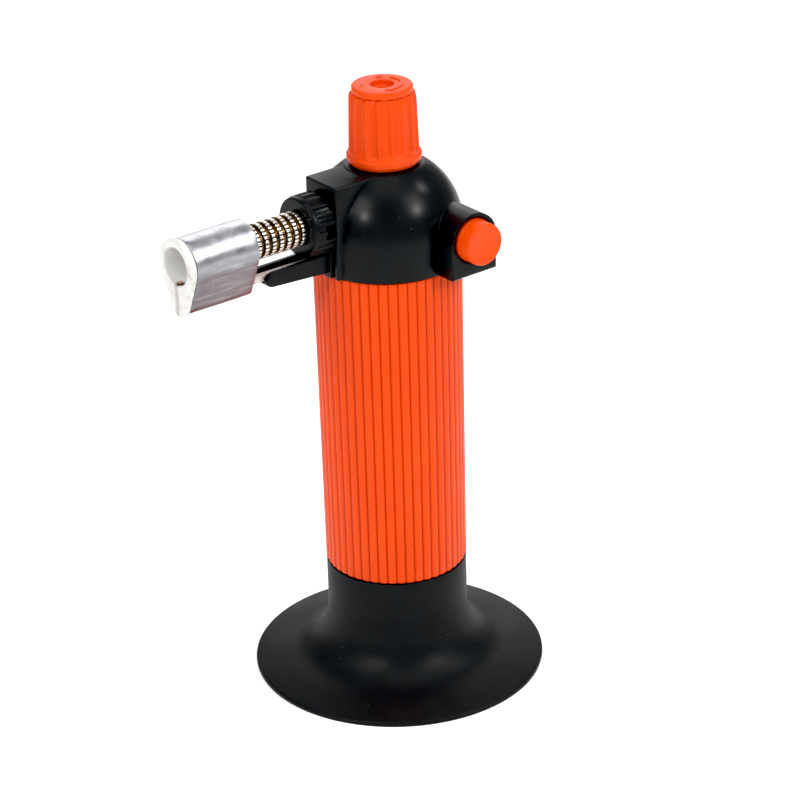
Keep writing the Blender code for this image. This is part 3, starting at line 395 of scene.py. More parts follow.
def aluminium():
    """Drawn sheet, mottled and lined along the nozzle, with painted shade darkening its underside."""
    made = Surface("aluminium_look", (0.58, 0.59, 0.63), 0.30, 1.0)
    made.tint((0.40, 0.41, 0.43), made.spread(made.noise(420.0, 5.0, rough=0.65), 0.42, 0.68, 0.0, 0.7))
    # Painted shade: darker towards the bottom, from above the burner's axis down to just below it.
    under = made.spread(made.axis("Z"), BURNER_Z - 2.0 * MM, BURNER_Z + 5.5 * MM, 0.82, 0.0)
    made.tint((0.17, 0.175, 0.185), under)
    lines = made.noise(900.0, 3.0, (0.12, 1.0, 1.0))
    made.tint((0.50, 0.51, 0.545), made.spread(lines, 0.5, 0.75, 0.0, 0.6))
    made.set("Roughness", made.spread(made.noise(300.0, 4.0), 0.35, 0.7, 0.26, 0.42))
    made.bump(made.noise(1200.0, 4.0, (0.15, 1.0, 1.0)), 0.12, 0.06 * MM)
    made.bump(made.noise(180.0, 3.0), 0.20, 0.15 * MM)
    return made.done()


def white_ceramic():
    """Fired ceramic, browned on one side, sooty underneath and burnt red at the spark's hole."""
    made = Surface("white_ceramic_look", (0.80, 0.79, 0.76), 0.72)
    made.tint((0.62, 0.60, 0.56), made.spread(made.noise(350.0, 5.0), 0.45, 0.75, 0.0, 0.6))
    patches = made.spread(made.noise(260.0, 5.0, rough=0.7), 0.54, 0.70)
    side = made.spread(made.axis("Y"), 3.6 * MM, 5.6 * MM)
    made.tint((0.30, 0.22, 0.15), made.product(patches, side, 0.9))
    bottom = made.spread(made.axis("Z"), BURNER_Z - 7.0 * MM, BURNER_Z - 4.5 * MM, 1.0, 0.0)
    soot = made.spread(made.noise(500.0, 4.0), 0.56, 0.72, 0.0, 0.35)
    made.tint((0.33, 0.25, 0.17), made.product(bottom, soot))
    from_spark = made.distance(made.maths("SUBTRACT", made.axis("X"), SPARK_X), made.axis("Y"))
    burnt = made.spread(from_spark, SPARK_HOLE_R, 1.7 * MM, 1.0, 0.0)
    under = made.spread(made.axis("Z"), BURNER_Z - 2.5 * MM, BURNER_Z - 3.5 * MM, 0.0, 0.85)
    made.tint((0.11, 0.022, 0.010), made.product(burnt, under))
    made.bump(made.noise(1100.0, 5.0), 0.35, 0.12 * MM)
    made.bump(made.noise(300.0, 3.0), 0.30, 0.25 * MM)
    return made.done()


def knurled_metal():
    """Bright teeth with painted shade darkening the grooves to a dull brown, told apart by their distance
    from the axis.
    """
    made = Surface("knurled_metal_look", (0.95, 0.90, 0.80), 0.24, 1.0)
    # Painted shade: the grooves and roots between the teeth are darkened to a dull brown.
    reach = made.distance(made.axis("Y"), made.maths("SUBTRACT", made.axis("Z"), BURNER_Z))
    painted_groove_shade = made.spread(reach, FIN_ROOT_R + 0.40 * MM, FIN_R - 0.06 * MM, 1.0, 0.0)
    made.tint((0.085, 0.042, 0.014), painted_groove_shade)
    made.tint((0.55, 0.36, 0.16), made.spread(made.noise(700.0, 3.0), 0.5, 0.8, 0.0, 0.4))
    made.set("Roughness", made.spread(made.noise(900.0, 3.0), 0.3, 0.7, 0.20, 0.38))
    made.bump(made.noise(3000.0, 2.0), 0.15, 0.04 * MM)
    return made.done()


def brass():
    made = Surface("brass_look", (0.80, 0.58, 0.26), 0.3, 1.0)
    made.tint((0.50, 0.33, 0.13), made.spread(made.noise(500.0, 4.0), 0.45, 0.75, 0.0, 0.6))
    made.set("Roughness", made.spread(made.noise(700.0, 3.0), 0.3, 0.7, 0.24, 0.40))
    made.bump(made.noise(1500.0, 3.0), 0.12, 0.04 * MM)
    return made.done()


def shaded(colour, share):
    return tuple(share * part for part in colour)


def plain_metal(name, colour):
    made = Surface(name, colour, 0.3, 1.0)
    made.tint(shaded(colour, 0.6), made.spread(made.noise(800.0, 4.0), 0.45, 0.75, 0.0, 0.6))
    made.set("Roughness", made.spread(made.noise(900.0, 3.0), 0.3, 0.7, 0.22, 0.40))
    made.bump(made.noise(2200.0, 2.0), 0.10, 0.03 * MM)
    return made.done()


def dull_solid(name, colour, roughness):
    """Rubber, felt, plastic case or sintered crystal: a mottled matt solid."""
    made = Surface(name, colour, roughness)
    made.tint(shaded(colour, 0.65), made.spread(made.noise(900.0, 5.0), 0.4, 0.7, 0.0, 0.8))
    made.bump(made.noise(1800.0, 4.0), 0.3, 0.08 * MM)
    return made.done()


def clear_sleeve():
    made = Surface("clear_sleeve_look", (0.96, 0.84, 0.82), 0.14)
    made.tint((0.86, 0.62, 0.58), made.spread(made.noise(600.0, 3.0), 0.4, 0.7, 0.0, 0.5))
    made.set("Transmission Weight", 0.30)
    made.set("IOR", 1.40)
    made.bump(made.noise(900.0, 2.0), 0.10, 0.05 * MM)
    return made.done()


def pale_floor():
    """A white table that glows a little, as a lit light table does."""
    made = Surface("pale_floor", (0.93, 0.93, 0.93), 0.9)
    made.set("Emission Color", (1.0, 1.0, 1.0, 1.0))
    made.set("Emission Strength", FLOOR_GLOW)
    return made.done()


LOOKS = {
    "black_plastic": black_plastic(),
    "orange_plastic": orange_plastic(),
    "aluminium": aluminium(),
    "white_ceramic": white_ceramic(),
    "knurled_metal": knurled_metal(),
    "brass": brass(),
    "steel": plain_metal("steel_look", (0.56, 0.57, 0.60)),
    "copper": plain_metal("copper_look", (0.85, 0.42, 0.25)),
    "seal_rubber": dull_solid("seal_rubber_look", (0.03, 0.03, 0.03), 0.75),
    "filter_felt": dull_solid("filter_felt_look", (0.72, 0.68, 0.60), 0.95),
    "piezo_blue": dull_solid("piezo_blue_look", (0.03, 0.07, 0.22), 0.45),
    "piezo_grey": dull_solid("piezo_grey_look", (0.34, 0.33, 0.31), 0.65),
    "clear_sleeve": clear_sleeve(),
}


# ---------------------------------------------------------------- shapes


def smooth(mesh, sharp):
    """Smooth shading but for edges turned by more than the given degrees."""
    mesh.shade_smooth()
    mesh.set_sharp_from_angle(angle=math.radians(sharp))


def piece_from(name, work, sharp=SHARP):
    """Makes an object of a bmesh."""
    bmesh.ops.recalc_face_normals(work, faces=work.faces)
    mesh = bpy.data.meshes.new(name)
    work.to_mesh(mesh)
    work.free()
    smooth(mesh, sharp)
    made = bpy.data.objects.new(name, mesh)
    bpy.context.scene.collection.objects.link(made)
    return made


def rounded(corners, closed):
    """Points of a (radius, height, rounding) outline, with its corners rounded by short curves."""
    points = []
    steps = 3
    count = len(corners)
    for index, (radius, height, rounding) in enumerate(corners):
        corner = Vector((radius, height))
        if not rounding or (not closed and index in (0, count - 1)):
            points.append(corner)
            continue
        before = Vector(corners[index - 1][:2]) - corner
        after = Vector(corners[(index + 1) % count][:2]) - corner
        reach = min(rounding, before.length * 0.48, after.length * 0.48)
        start = corner + before.normalized() * reach
        end = corner + after.normalized() * reach
        for i in range(steps + 1):
            t = i / steps
            points.append(start.lerp(corner, t).lerp(corner.lerp(end, t), t))
    return points


def turned(name, corners, count, closed=True, shape=None, sharp=SHARP):
    """A solid turned about Z. shape(angle, radius, height) may change the radius."""
    work = bmesh.new()
    rings = []
    for radius, height in rounded(corners, closed):
        if radius < 1e-7:
            rings.append([work.verts.new((0.0, 0.0, height))])
            continue
        ring = []
        for i in range(count):
            angle = math.tau * i / count
            reach = shape(angle, radius, height) if shape else radius
            ring.append(work.verts.new((reach * math.cos(angle), reach * math.sin(angle), height)))
        rings.append(ring)
    pairs = list(zip(rings, rings[1:]))
    if closed:
        pairs.append((rings[-1], rings[0]))
    for first, second in pairs:
        if len(first) == 1 and len(second) == 1:
            continue
        for i in range(count):
            j = (i + 1) % count
            if len(first) == 1:
                work.faces.new((first[0], second[i], second[j]))
            elif len(second) == 1:
                work.faces.new((first[i], second[0], first[j]))
            else:
                work.faces.new((first[i], second[i], second[j], first[j]))
    return piece_from(name, work, sharp)


def along_x(piece, z=BURNER_Z):
    """Lays a piece made about Z along X, at the burner's height unless told otherwise."""
    piece.data.transform(Matrix.Translation((0.0, 0.0, z)) @ Matrix.Rotation(math.pi / 2, 4, "Y"))
    return piece


def along_y(piece, x=BUTTON_X, z=BUTTON_Z):
    """Lays a piece made about Z along Y, on the button's axis unless told otherwise."""
    piece.data.transform(Matrix.Translation((x, 0.0, z)) @ Matrix.Rotation(-math.pi / 2, 4, "X"))
    return piece


def block(name, lowest, highest, edge=0.0, segments=3):
    """A block, with all its edges rounded where an edge radius is given."""
    work = bmesh.new()
    size = Vector(highest) - Vector(lowest)
    middle = (Vector(highest) + Vector(lowest)) / 2
    place = Matrix.Translation(middle) @ Matrix.Diagonal((*size, 1.0))
    bmesh.ops.create_cube(work, size=1.0, matrix=place)
    if edge:
        bmesh.ops.bevel(work, geom=work.edges[:], offset=edge, segments=segments, profile=0.5, affect="EDGES")
    return piece_from(name, work)


def slab(name, outline, bottom, top, edge, segments=3):
    """An outline in XY extruded from bottom to top, with the rims of both ends rounded."""
    work = bmesh.new()
    lower = [work.verts.new((x, y, bottom)) for x, y in outline]
    upper = [work.verts.new((x, y, top)) for x, y in outline]
    work.faces.new(list(reversed(lower)))
    work.faces.new(upper)
    count = len(outline)
    for i in range(count):
        j = (i + 1) % count
        work.faces.new((lower[i], lower[j], upper[j], upper[i]))
    rims = [e for e in work.edges if abs(e.verts[0].co.z - e.verts[1].co.z) < 1e-9]
    bmesh.ops.bevel(work, geom=rims, offset=edge, segments=segments, profile=0.5, affect="EDGES")
    return piece_from(name, work)


def rod(name, radius, bottom, top, count):
    """A plain round rod about Z."""
    corners = [(0.0, top, 0), (radius, top, 0), (radius, bottom, 0), (0.0, bottom, 0)]
    return turned(name, corners, count, closed=False)


def merge(piece, other, operation="DIFFERENCE", sharp=SHARP):
    """Cuts or joins two pieces, leaving one plain mesh and no helper."""
    cut = piece.modifiers.new("merge", "BOOLEAN")
    cut.operation = operation
    cut.solver = "EXACT"
    cut.object = other
    bpy.context.view_layer.update()
    graph = bpy.context.evaluated_depsgraph_get()
    mesh = bpy.data.meshes.new_from_object(piece.evaluated_get(graph))
    piece.modifiers.clear()
    piece.data = mesh
    smooth(mesh, sharp)
    bpy.data.objects.remove(other, do_unlink=True)


def joined(name, pieces):
    """One object of several separate shells."""
    work = bmesh.new()
    for piece in pieces:
        work.from_mesh(piece.data)
        bpy.data.objects.remove(piece, do_unlink=True)
    return piece_from(name, work)


def dressed(piece, slot, body, *nodes):
    """Gives a piece its look, the body it rides on and the nodes it stands for."""
    piece.data.materials.clear()
    piece.data.materials.append(LOOKS[slot])
    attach(piece, body)
    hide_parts(*nodes)


def arc(cx, cy, radius, start, end, steps):
    """Points of an arc in degrees, both ends included."""
    points = []
    for i in range(steps + 1):
        angle = math.radians(start + (end - start) * i / steps)
        points.append((cx + radius * math.cos(angle), cy + radius * math.sin(angle)))
    return points


def smoothstep(value):
    value = min(max(value, 0.0), 1.0)
    return value * value * (3.0 - 2.0 * value)


def swell(angle, count, flat, slope):
    """Rises from 0 to 1 and falls back in each of count sectors, given as shares of a sector."""
    share = (angle * count / math.tau) % 1.0
    return smoothstep((0.5 - abs(share - 0.5) - flat) / slope)


# ---------------------------------------------------------------- stand and tank


def make_stand():
    """The collar, the curve down to the straight brim, the hollow below and the cup's holed floor."""
    foot_r = COLLAR_R + FILLET_REACH
    inner = COLLAR_R - STAND_WALL
    under = FILLET_FOOT - STAND_WALL
    cup_low = CUP_FLOOR - CUP_FLOOR_THICK
    bend_z = FILLET_FOOT + BRIM_SLOPE * FILLET_REACH
    corners = [(COLLAR_R, COLLAR_TOP, 0.35 * MM)]
    steps = 24
    for i in range(steps + 1):
        share = i / steps
        radius = COLLAR_R + FILLET_REACH * share**2
        height = FILLET_TOP * (1 - share) ** 2 + 2 * bend_z * share * (1 - share) + FILLET_FOOT * share**2
        corners.append((radius, height, 0))
    corners += [
        (STAND_R, RIM, 0.7 * MM),
        (STAND_R, 0.0, 0.25 * MM),
        (STAND_R - STAND_WALL, 0.0, 0.2 * MM),
        (foot_r + STAND_WALL, under, 0),
    ]
    steps = 8
    for i in range(steps):
        angle = math.pi / 2 * i / steps
        radius = foot_r - (FILLET_REACH + STAND_WALL) * math.sin(angle)
        rise = (CUP_FLOOR - FILLET_FOOT) * (1 - math.cos(angle))
        corners.append((radius, under + rise, 0))
    corners += [
        (inner, cup_low, 0),
        (CUP_HOLE_R, cup_low, 0.3 * MM),
        (CUP_HOLE_R, CUP_FLOOR, 0.3 * MM),
        (inner, CUP_FLOOR, 0.4 * MM),
        (inner, COLLAR_TOP, 0.35 * MM),
    ]
    stand = turned("stand_shell", corners, 160)
    dressed(stand, "black_plastic", "stand", "stand_base")


def make_tank():
    """The ribbed column with its plug and neck. Each rib is a round bead, and one seam crosses it."""
    ribs_low = COLLAR_TOP + GAP
    foot_r = TANK_R - TANK_TAPER
    plug_r = COLLAR_R - STAND_WALL - GAP
    inner = NECK_R - TANK_WALL
    rib_zone = foot_r - 1.2 * MM

    def ribbed(angle, radius, height):
        if radius < rib_zone or not ribs_low - GAP / 2 <= height <= TANK_SHOULDER + GAP / 2:
            return radius
        share = (angle * RIBS / math.tau) % 1.0
        bead = 1.0 - math.sqrt(1.0 - min(abs(2.0 * share - 1.0) * 0.985, 1.0) ** 2)
        seam = abs((angle - SEAM_TURN + math.pi) % math.tau - math.pi) * radius
        ridge = SEAM_RAISE * max(0.0, 1.0 - seam / SEAM_WIDTH)
        return radius - RIB_DEPTH * bead + ridge

    corners = [
        (foot_r, ribs_low, 0.5 * MM),
        (plug_r, ribs_low, 0),
        (plug_r, TANK_FOOT, 0.5 * MM),
        (REFILL_PORT_R, TANK_FOOT, 0.3 * MM),
        (REFILL_PORT_R, TANK_FLOOR, 0),
        (inner, TANK_FLOOR, 0.5 * MM),
        (inner, NECK_TOP, 0.2 * MM),
        (NECK_R, NECK_TOP, 0.2 * MM),
        (NECK_R, TANK_SHOULDER, 0),
        (TANK_R, TANK_SHOULDER, 0.3 * MM),
    ]
    tank = turned("tank_column", corners, RIBS * 12, shape=ribbed, sharp=SHARP_RIBS)
    dressed(tank, "orange_plastic", "torch", "fuel_tank")


# ---------------------------------------------------------------- head


def dome(name, radius, top, bottom, steps, count, brow=0.0, hem=0.0):
    """A flat-topped dome about DOME_Z with a straight skirt below it."""
    start = math.asin((top - DOME_Z) / radius)
    corners = [(0.0, top, 0)]
    for i in range(steps + 1):
        angle = start * (1 - i / steps)
        corners.append((radius * math.cos(angle), DOME_Z + radius * math.sin(angle), 0 if i else brow))
    corners += [(radius, bottom, hem), (0.0, bottom, 0)]
    return turned(name, corners, count, closed=False)


def solid_head():
    """The dome with the burner block in front and the arched button boss on its side."""
    head = dome("head_shell", HEAD_R, HEAD_TOP, HEAD_LOW, 28, 144, 0.3 * MM, 0.25 * MM)
    lowest = (BLOCK_REAR, -BLOCK_HALF, BLOCK_LOW)
    merge(head, block("front_block", lowest, (BLOCK_FRONT, BLOCK_HALF, BLOCK_TOP), SOFT_EDGE), "UNION")
    sill = HEAD_LOW - BUTTON_Z
    arch = arc(0.0, 0.0, BOSS_HALF, 0, 180, 40) + [(-BOSS_HALF, sill), (BOSS_HALF, sill)]
    boss = slab("button_boss", [(x, -z) for x, z in arch], BOSS_ROOT, BOSS_FACE, SOFT_EDGE)
    merge(head, along_y(boss), "UNION")
    return head


def make_head():
    """The head's shell, hollowed from below and opened for the button, burner, arm and valve."""
    head = solid_head()
    below = HEAD_LOW - PAST
    roof = HEAD_TOP - HEAD_WALL
    merge(head, dome("hollow", HEAD_R - HEAD_WALL, roof, below, 8, 64))
    inner_top = (BLOCK_INNER_FRONT, BLOCK_INNER_HALF, BLOCK_TOP - BLOCK_WALL)
    merge(head, block("block_hollow", (0.0, -BLOCK_INNER_HALF, below), inner_top))
    bore_r = BUTTON_R + BUTTON_PLAY
    mouth_r = BUTTON_R + 0.6 * MM
    bore = [
        (0.0, BOSS_FACE + PAST, 0),
        (mouth_r, BOSS_FACE + PAST, 0),
        (mouth_r, BOSS_FACE, 0),
        (bore_r, BOSS_FACE - 0.5 * MM, 0),
        (bore_r, HEAD_R / 2, 0),
        (0.0, HEAD_R / 2, 0),
    ]
    merge(head, along_y(turned("button_bore", bore, 64, closed=False)))
    rear = BLOCK_INNER_FRONT - PAST
    front = BLOCK_FRONT + PAST
    merge(head, along_x(rod("burner_hole", BARREL_R, rear, front, 48)))
    slot_half = GUIDE_BASE_HALF + 0.8 * MM
    merge(head, block("guide_slot", (rear, -slot_half, below), (front, slot_half, GUIDE_TOP + 2.2 * MM)))
    merge(head, rod("valve_hole", VALVE_HOLE_R, roof - PAST, HEAD_TOP + PAST, 48))
    dressed(head, "black_plastic", "torch", "head_housing")


def make_button():
    """A short button with a soft rim, a faintly dished face and a wider foot ring."""
    face = BUTTON_FACE
    inner = 4.0 * MM
    roof = face - 2.2 * MM
    corners = [
        (0.0, face - 0.35 * MM, 0),
        (BUTTON_R - 2.2 * MM, face - 0.28 * MM, 0),
        (BUTTON_R - 1.1 * MM, face, 0.6 * MM),
        (BUTTON_R - 0.12 * MM, face, 0.55 * MM),
        (BUTTON_R - 0.10 * MM, BOSS_FACE + 0.6 * MM, 0.2 * MM),
        (BUTTON_R, BOSS_FACE + 0.35 * MM, 0.1 * MM),
        (BUTTON_R, BUTTON_REAR, 0.2 * MM),
        (inner, BUTTON_REAR, 0.2 * MM),
        (inner, roof, 0),
        (0.0, roof, 0),
    ]
    button = along_y(turned("button_cap", corners, 96, closed=False))
    dressed(button, "orange_plastic", "button", "ignition_button")


# ---------------------------------------------------------------- knob


def knob_wall(height):
    """Radius of the knob's tapered outside at a height."""
    slope = (KNOB_TOP_R - KNOB_FOOT_R) / (KNOB_TOP - FLANGE_HIGH)
    return KNOB_FOOT_R + slope * (height - FLANGE_HIGH)


def fluted(angle, radius, height):
    """The knob's outside with its flutes, which fade out above the flange."""
    if height < FLUTE_FOOT or radius < knob_wall(height) - 1.0 * MM:
        return radius
    fade = smoothstep((height - FLUTE_FOOT) / FLUTE_FADE)
    return radius - FLUTE_DEPTH * swell(angle, FLUTES, 0.0, 0.34) * fade


def make_knob():
    """The fluted knob, with small bridges between its rim and the cap."""
    rim_in = CAP_R + GAP
    seat = CAP_LOW - GAP
    skirt_r = KNOB_FOOT_R - 0.35 * MM
    end_zone = 1.6 * MM
    wall_top = KNOB_TOP - end_zone
    wall_low = FLUTE_FOOT + end_zone
    corners = [(KNOB_TOP_R - 0.5 * MM, KNOB_TOP, 0.2 * MM), (KNOB_TOP_R, KNOB_TOP - 0.7 * MM, 0.4 * MM)]
    for i in range(1, 8):
        height = wall_top - (wall_top - wall_low) * i / 7
        corners.append((knob_wall(height), height, 0))
    for i in range(1, 7):
        height = FLUTE_FOOT + end_zone * (1 - i / 6)
        corners.append((knob_wall(height), height, 0))
    corners += [
        (KNOB_FOOT_R, FLANGE_HIGH, 0.15 * MM),
        (KNOB_FLANGE_R, FLANGE_HIGH - 0.35 * MM, 0.5 * MM),
        (KNOB_FLANGE_R, FLANGE_LOW, 0.35 * MM),
        (skirt_r, FLANGE_LOW, 0),
        (skirt_r, KNOB_LOW, 0.1 * MM),
        (KNOB_BORE, KNOB_LOW, 0.1 * MM),
        (KNOB_BORE, KNOB_WEB, 0.3 * MM),
        (HUB_HOLE, KNOB_WEB, 0),
        (HUB_HOLE, seat, 0),
        (rim_in, seat, 0),
        (rim_in, KNOB_TOP, 0.15 * MM),
    ]
    shells = [turned("knob_body", corners, FLUTES * 16, shape=fluted, sharp=SHARP_TEETH)]
    lowest = (CAP_R - 0.1 * MM, -BRIDGE_HALF, seat)
    highest = (rim_in + 0.2 * MM, BRIDGE_HALF, KNOB_TOP - 0.25 * MM)
    for i in range(BRIDGES):
        bridge = block("bridge", lowest, highest)
        bridge.data.transform(Matrix.Rotation(math.tau * (i + 0.3) / BRIDGES, 4, "Z"))
        shells.append(bridge)
    dressed(joined("knob_shell", shells), "orange_plastic", "knob", "gas_knob")


def ribbon(name, centre_r, width, start, end, bottom, top):
    """A raised arc about Z, from one angle to another in degrees."""
    outer = arc(0.0, 0.0, centre_r + width / 2, start, end, 24)
    inner = arc(0.0, 0.0, centre_r - width / 2, end, start, 24)
    return slab(name, outer + inner, bottom, top, MARK_EDGE, 2)


def make_cap():
    """The disc on the knob with its centre hole, and a plain arrow between a minus and a plus."""
    top = CAP_TOP - MARK_RAISE
    hub_hole = CAP_HOLE - 0.6 * MM
    corners = [
        (CAP_LIP_R, top, 0.6 * MM),
        (CAP_LIP_R, KNOB_TOP + GAP, 0.2 * MM),
        (CAP_R, KNOB_TOP + GAP, 0),
        (CAP_R, CAP_LOW, 0.15 * MM),
        (hub_hole, CAP_LOW, 0),
        (hub_hole, top - 1.6 * MM, 0.1 * MM),
        (CAP_HOLE, top - 1.3 * MM, 0.1 * MM),
        (CAP_HOLE, top, 0.35 * MM),
    ]
    disc = turned("cap_disc", corners, 128)
    sunk = top - 0.1 * MM
    arrow = ribbon("arrow", MARK_R, 0.65 * MM, 150, 20, sunk, CAP_TOP)
    half = 0.9 * MM
    tip = [(MARK_R + 1.0 * MM, half), (MARK_R - 1.0 * MM, half), (MARK_R, -half)]
    head = slab("arrow_head", tip, sunk, CAP_TOP, MARK_EDGE, 2)
    head.data.transform(Matrix.Rotation(math.radians(12), 4, "Z"))

    def bar(x, y, half_x, half_y):
        lowest = (x - half_x, y - half_y, sunk)
        return block("bar", lowest, (x + half_x, y + half_y, CAP_TOP), MARK_EDGE, 2)

    thin = 0.25 * MM
    minus = bar(0.0, -4.95 * MM, half, thin)
    plus = [bar(-MARK_R, 0.0, half, thin), bar(-MARK_R, 0.0, thin, half)]
    marks = [arrow, head, minus, *plus]
    for mark in marks:
        mark.data.transform(Matrix.Rotation(math.radians(60), 4, "Z"))
    dressed(joined("cap_shell", [disc, *marks]), "orange_plastic", "knob", "knob_cap")


# ---------------------------------------------------------------- burner


def make_air_ring():
    """The ribbed ring with a plain disc in front and an air window on either side."""
    disc_rear = RING_FRONT - RING_DISC
    bore = BARREL_R + 0.12 * MM

    def ribbed(angle, radius, height):
        if height > disc_rear - 0.1 * MM or radius < RING_R - 1.0 * MM:
            return radius
        return radius - RING_RIB_DEPTH * swell(angle, RING_RIBS, 0.16, 0.16)

    corners = [
        (RING_R - 0.35 * MM, RING_FRONT, 0.4 * MM),
        (RING_R - 0.15 * MM, disc_rear, 0.05 * MM),
        (RING_R, disc_rear - 0.2 * MM, 0.1 * MM),
        (RING_R, RING_REAR, 0.35 * MM),
        (bore, RING_REAR, 0.2 * MM),
        (bore, RING_FRONT, 0.3 * MM),
    ]
    ring = along_x(turned("air_ring_shell", corners, RING_RIBS * 16, shape=ribbed, sharp=SHARP_TEETH))
    window_low = BURNER_Z - 1.9 * MM
    window_high = BURNER_Z + 1.5 * MM
    inner = BARREL_R - 0.9 * MM
    outer = RING_R + PAST
    for near, far in ((inner, outer), (-outer, -inner)):
        lowest = (RING_REAR - PAST, near, window_low)
        merge(ring, block("window", lowest, (RING_REAR + RING_WINDOW, far, window_high)), sharp=SHARP_TEETH)
    dressed(ring, "black_plastic", "air_ring", "air_ring")


def make_barrel():
    """The burner tube with its knurled rings of square teeth and its cross-drilled air hole."""
    first = RING_FRONT + GAP
    tip_rear = first + (FIN_COUNT - 1) * FIN_PITCH + FIN_WIDTH + 0.4 * MM

    def toothed(angle, radius, height):
        if radius < FIN_R - 0.3 * MM:
            return radius
        return radius - TOOTH_DEPTH * (1.0 - swell(angle, FIN_TEETH, 0.10, 0.12))

    corners = [
        (4.0 * MM, BARREL_TIP, 0.2 * MM),
        (TIP_R, BARREL_TIP - 0.3 * MM, 0.1 * MM),
        (TIP_R, tip_rear, 0.1 * MM),
        (FIN_ROOT_R, tip_rear, 0),
    ]
    for i in reversed(range(FIN_COUNT)):
        rear = first + i * FIN_PITCH
        corners += [
            (FIN_ROOT_R, rear + FIN_WIDTH, 0.1 * MM),
            (FIN_R, rear + FIN_WIDTH - 0.1 * MM, 0.25 * MM),
            (FIN_R, rear + 0.1 * MM, 0.25 * MM),
            (FIN_ROOT_R, rear, 0.1 * MM),
        ]
    corners += [
        (BARREL_R, first - 0.05 * MM, 0),
        (BARREL_R, BARREL_REAR, 0.2 * MM),
        (BARREL_BORE, BARREL_REAR, 0.2 * MM),
        (BARREL_BORE, BARREL_TIP, 0.3 * MM),
    ]
    barrel = along_x(turned("barrel_shell", corners, FIN_TEETH * 10, shape=toothed, sharp=SHARP_TEETH))
    reach = FIN_R + PAST
    hole = along_y(rod("air_hole", AIR_HOLE_R, -reach, reach, 24), RING_REAR + 0.5 * MM, BURNER_Z)
    merge(barrel, hole, sharp=SHARP_TEETH)
    dressed(barrel, "knurled_metal", "torch", "burner_barrel")


def pear(angle, grow):
    """Reach of the nozzle's section from the burner's axis, with angle 0 straight down."""
    top = SHIELD_R + grow
    foot = SHIELD_FOOT_R + grow
    turn = abs((angle + math.pi) % math.tau - math.pi)
    lean = math.asin((top - foot) / SHIELD_DROP)
    if turn >= math.pi / 2 - lean:
        return top
    if turn >= math.atan2(foot * math.cos(lean), SHIELD_DROP + foot * math.sin(lean)):
        return top / (math.sin(turn) * math.cos(lean) + math.cos(turn) * math.sin(lean))
    return SHIELD_DROP * math.cos(turn) + math.sqrt(foot**2 - (SHIELD_DROP * math.sin(turn)) ** 2)


def make_shield():
    """The pear-shaped aluminium sleeve, slightly uneven along its length."""

    def section(angle, radius, height):
        share = (height - SHIELD_REAR) / (SHIELD_FRONT - SHIELD_REAR)
        uneven = 0.05 * MM * math.sin(2 * angle + 5.0 * share) * math.sin(math.pi * share)
        return pear(angle, radius - SHIELD_R + uneven - 0.05 * MM)

    edge = 0.12 * MM
    inner = SHIELD_R - SHIELD_THICK
    steps = 12
    corners = [(SHIELD_R, SHIELD_FRONT, edge)]
    for i in range(1, steps):
        corners.append((SHIELD_R, SHIELD_FRONT + (SHIELD_REAR - SHIELD_FRONT) * i / steps, 0))
    corners += [(SHIELD_R, SHIELD_REAR, edge), (inner, SHIELD_REAR, edge), (inner, SHIELD_FRONT, edge)]
    shield = along_x(turned("shield_shell", corners, 240, shape=section))
    dressed(shield, "aluminium", "torch", "nozzle_shield")


def make_ceramic():
    """The ceramic core and lip: pear outside, round bore inside, with the spark's hole."""
    round_inside = NOZZLE_BORE + 1.0 * MM

    def section(angle, radius, height):
        if radius < round_inside:
            return radius
        rough = 0.05 * MM * math.sin(9 * angle) * math.sin(4 * angle + 1.0) + 0.03 * MM * math.sin(23 * angle)
        return pear(angle, radius - SHIELD_R + rough - 0.08 * MM)

    lip = SHIELD_R + LIP_OUT
    core = SHIELD_R - SHIELD_THICK - GAP
    lip_rear = SHIELD_FRONT + GAP
    core_rear = SHIELD_REAR + 0.5 * MM
    corners = [
        (lip, NOZZLE_FACE, 0.7 * MM),
        (lip, lip_rear, 0.3 * MM),
        (core, lip_rear, 0),
        (core, core_rear, 0.3 * MM),
        (NOZZLE_BORE, core_rear, 0.3 * MM),
        (NOZZLE_BORE, NOZZLE_FACE, 0.5 * MM),
    ]
    body = along_x(turned("ceramic_shell", corners, 240, shape=section))
    tunnel = rod("tunnel", TUBE_R + GAP, core_rear - PAST, SPARK_X + 0.6 * MM, 24)
    merge(body, along_x(tunnel, z=TUBE_Z))
    spark = rod("spark_hole", SPARK_HOLE_R, TUBE_Z, BURNER_Z, 24)
    spark.data.transform(Matrix.Translation((SPARK_X, 0.0, 0.0)))
    merge(body, spark)
    dressed(body, "white_ceramic", "torch", "ceramic_nozzle")


def make_guide():
    """The two-walled arm that carries the electrode's sleeve, and its foot in the head."""
    edge = 0.25 * MM
    front = BLOCK_FRONT + 0.6 * MM
    guide = block(
        "guide_shell",
        (GUIDE_REAR, -GUIDE_BASE_HALF, GUIDE_LOW),
        (front, GUIDE_BASE_HALF, GUIDE_TOP + 1.4 * MM),
        edge,
    )
    root = BLOCK_FRONT - 1.0 * MM
    side = [(root, GUIDE_TOP + 0.3 * MM), (GUIDE_TIP - 2.0 * MM, GUIDE_TOP)]
    side += arc(GUIDE_TIP - GUIDE_NOSE, TUBE_Z - 0.2 * MM, GUIDE_NOSE, 60, -90, 12)
    side.append((root, TUBE_Z - 3.2 * MM))
    arm = slab("guide_arm", side, -GUIDE_HALF, GUIDE_HALF, edge)
    arm.data.transform(Matrix.Rotation(math.pi / 2, 4, "X"))
    merge(guide, arm, "UNION")
    half = GUIDE_HALF - GUIDE_WALL
    lowest = (BLOCK_FRONT + 1.2 * MM, -half, TUBE_Z - TUBE_R - GAP)
    merge(guide, block("channel", lowest, (GUIDE_TIP + PAST, half, GUIDE_TOP + PAST)))
    passage = rod("passage", TUBE_R + GAP, GUIDE_REAR - PAST, BLOCK_FRONT + 3.0 * MM, 32)
    merge(guide, along_x(passage, z=TUBE_Z))
    dressed(guide, "black_plastic", "torch", "electrode_guide")


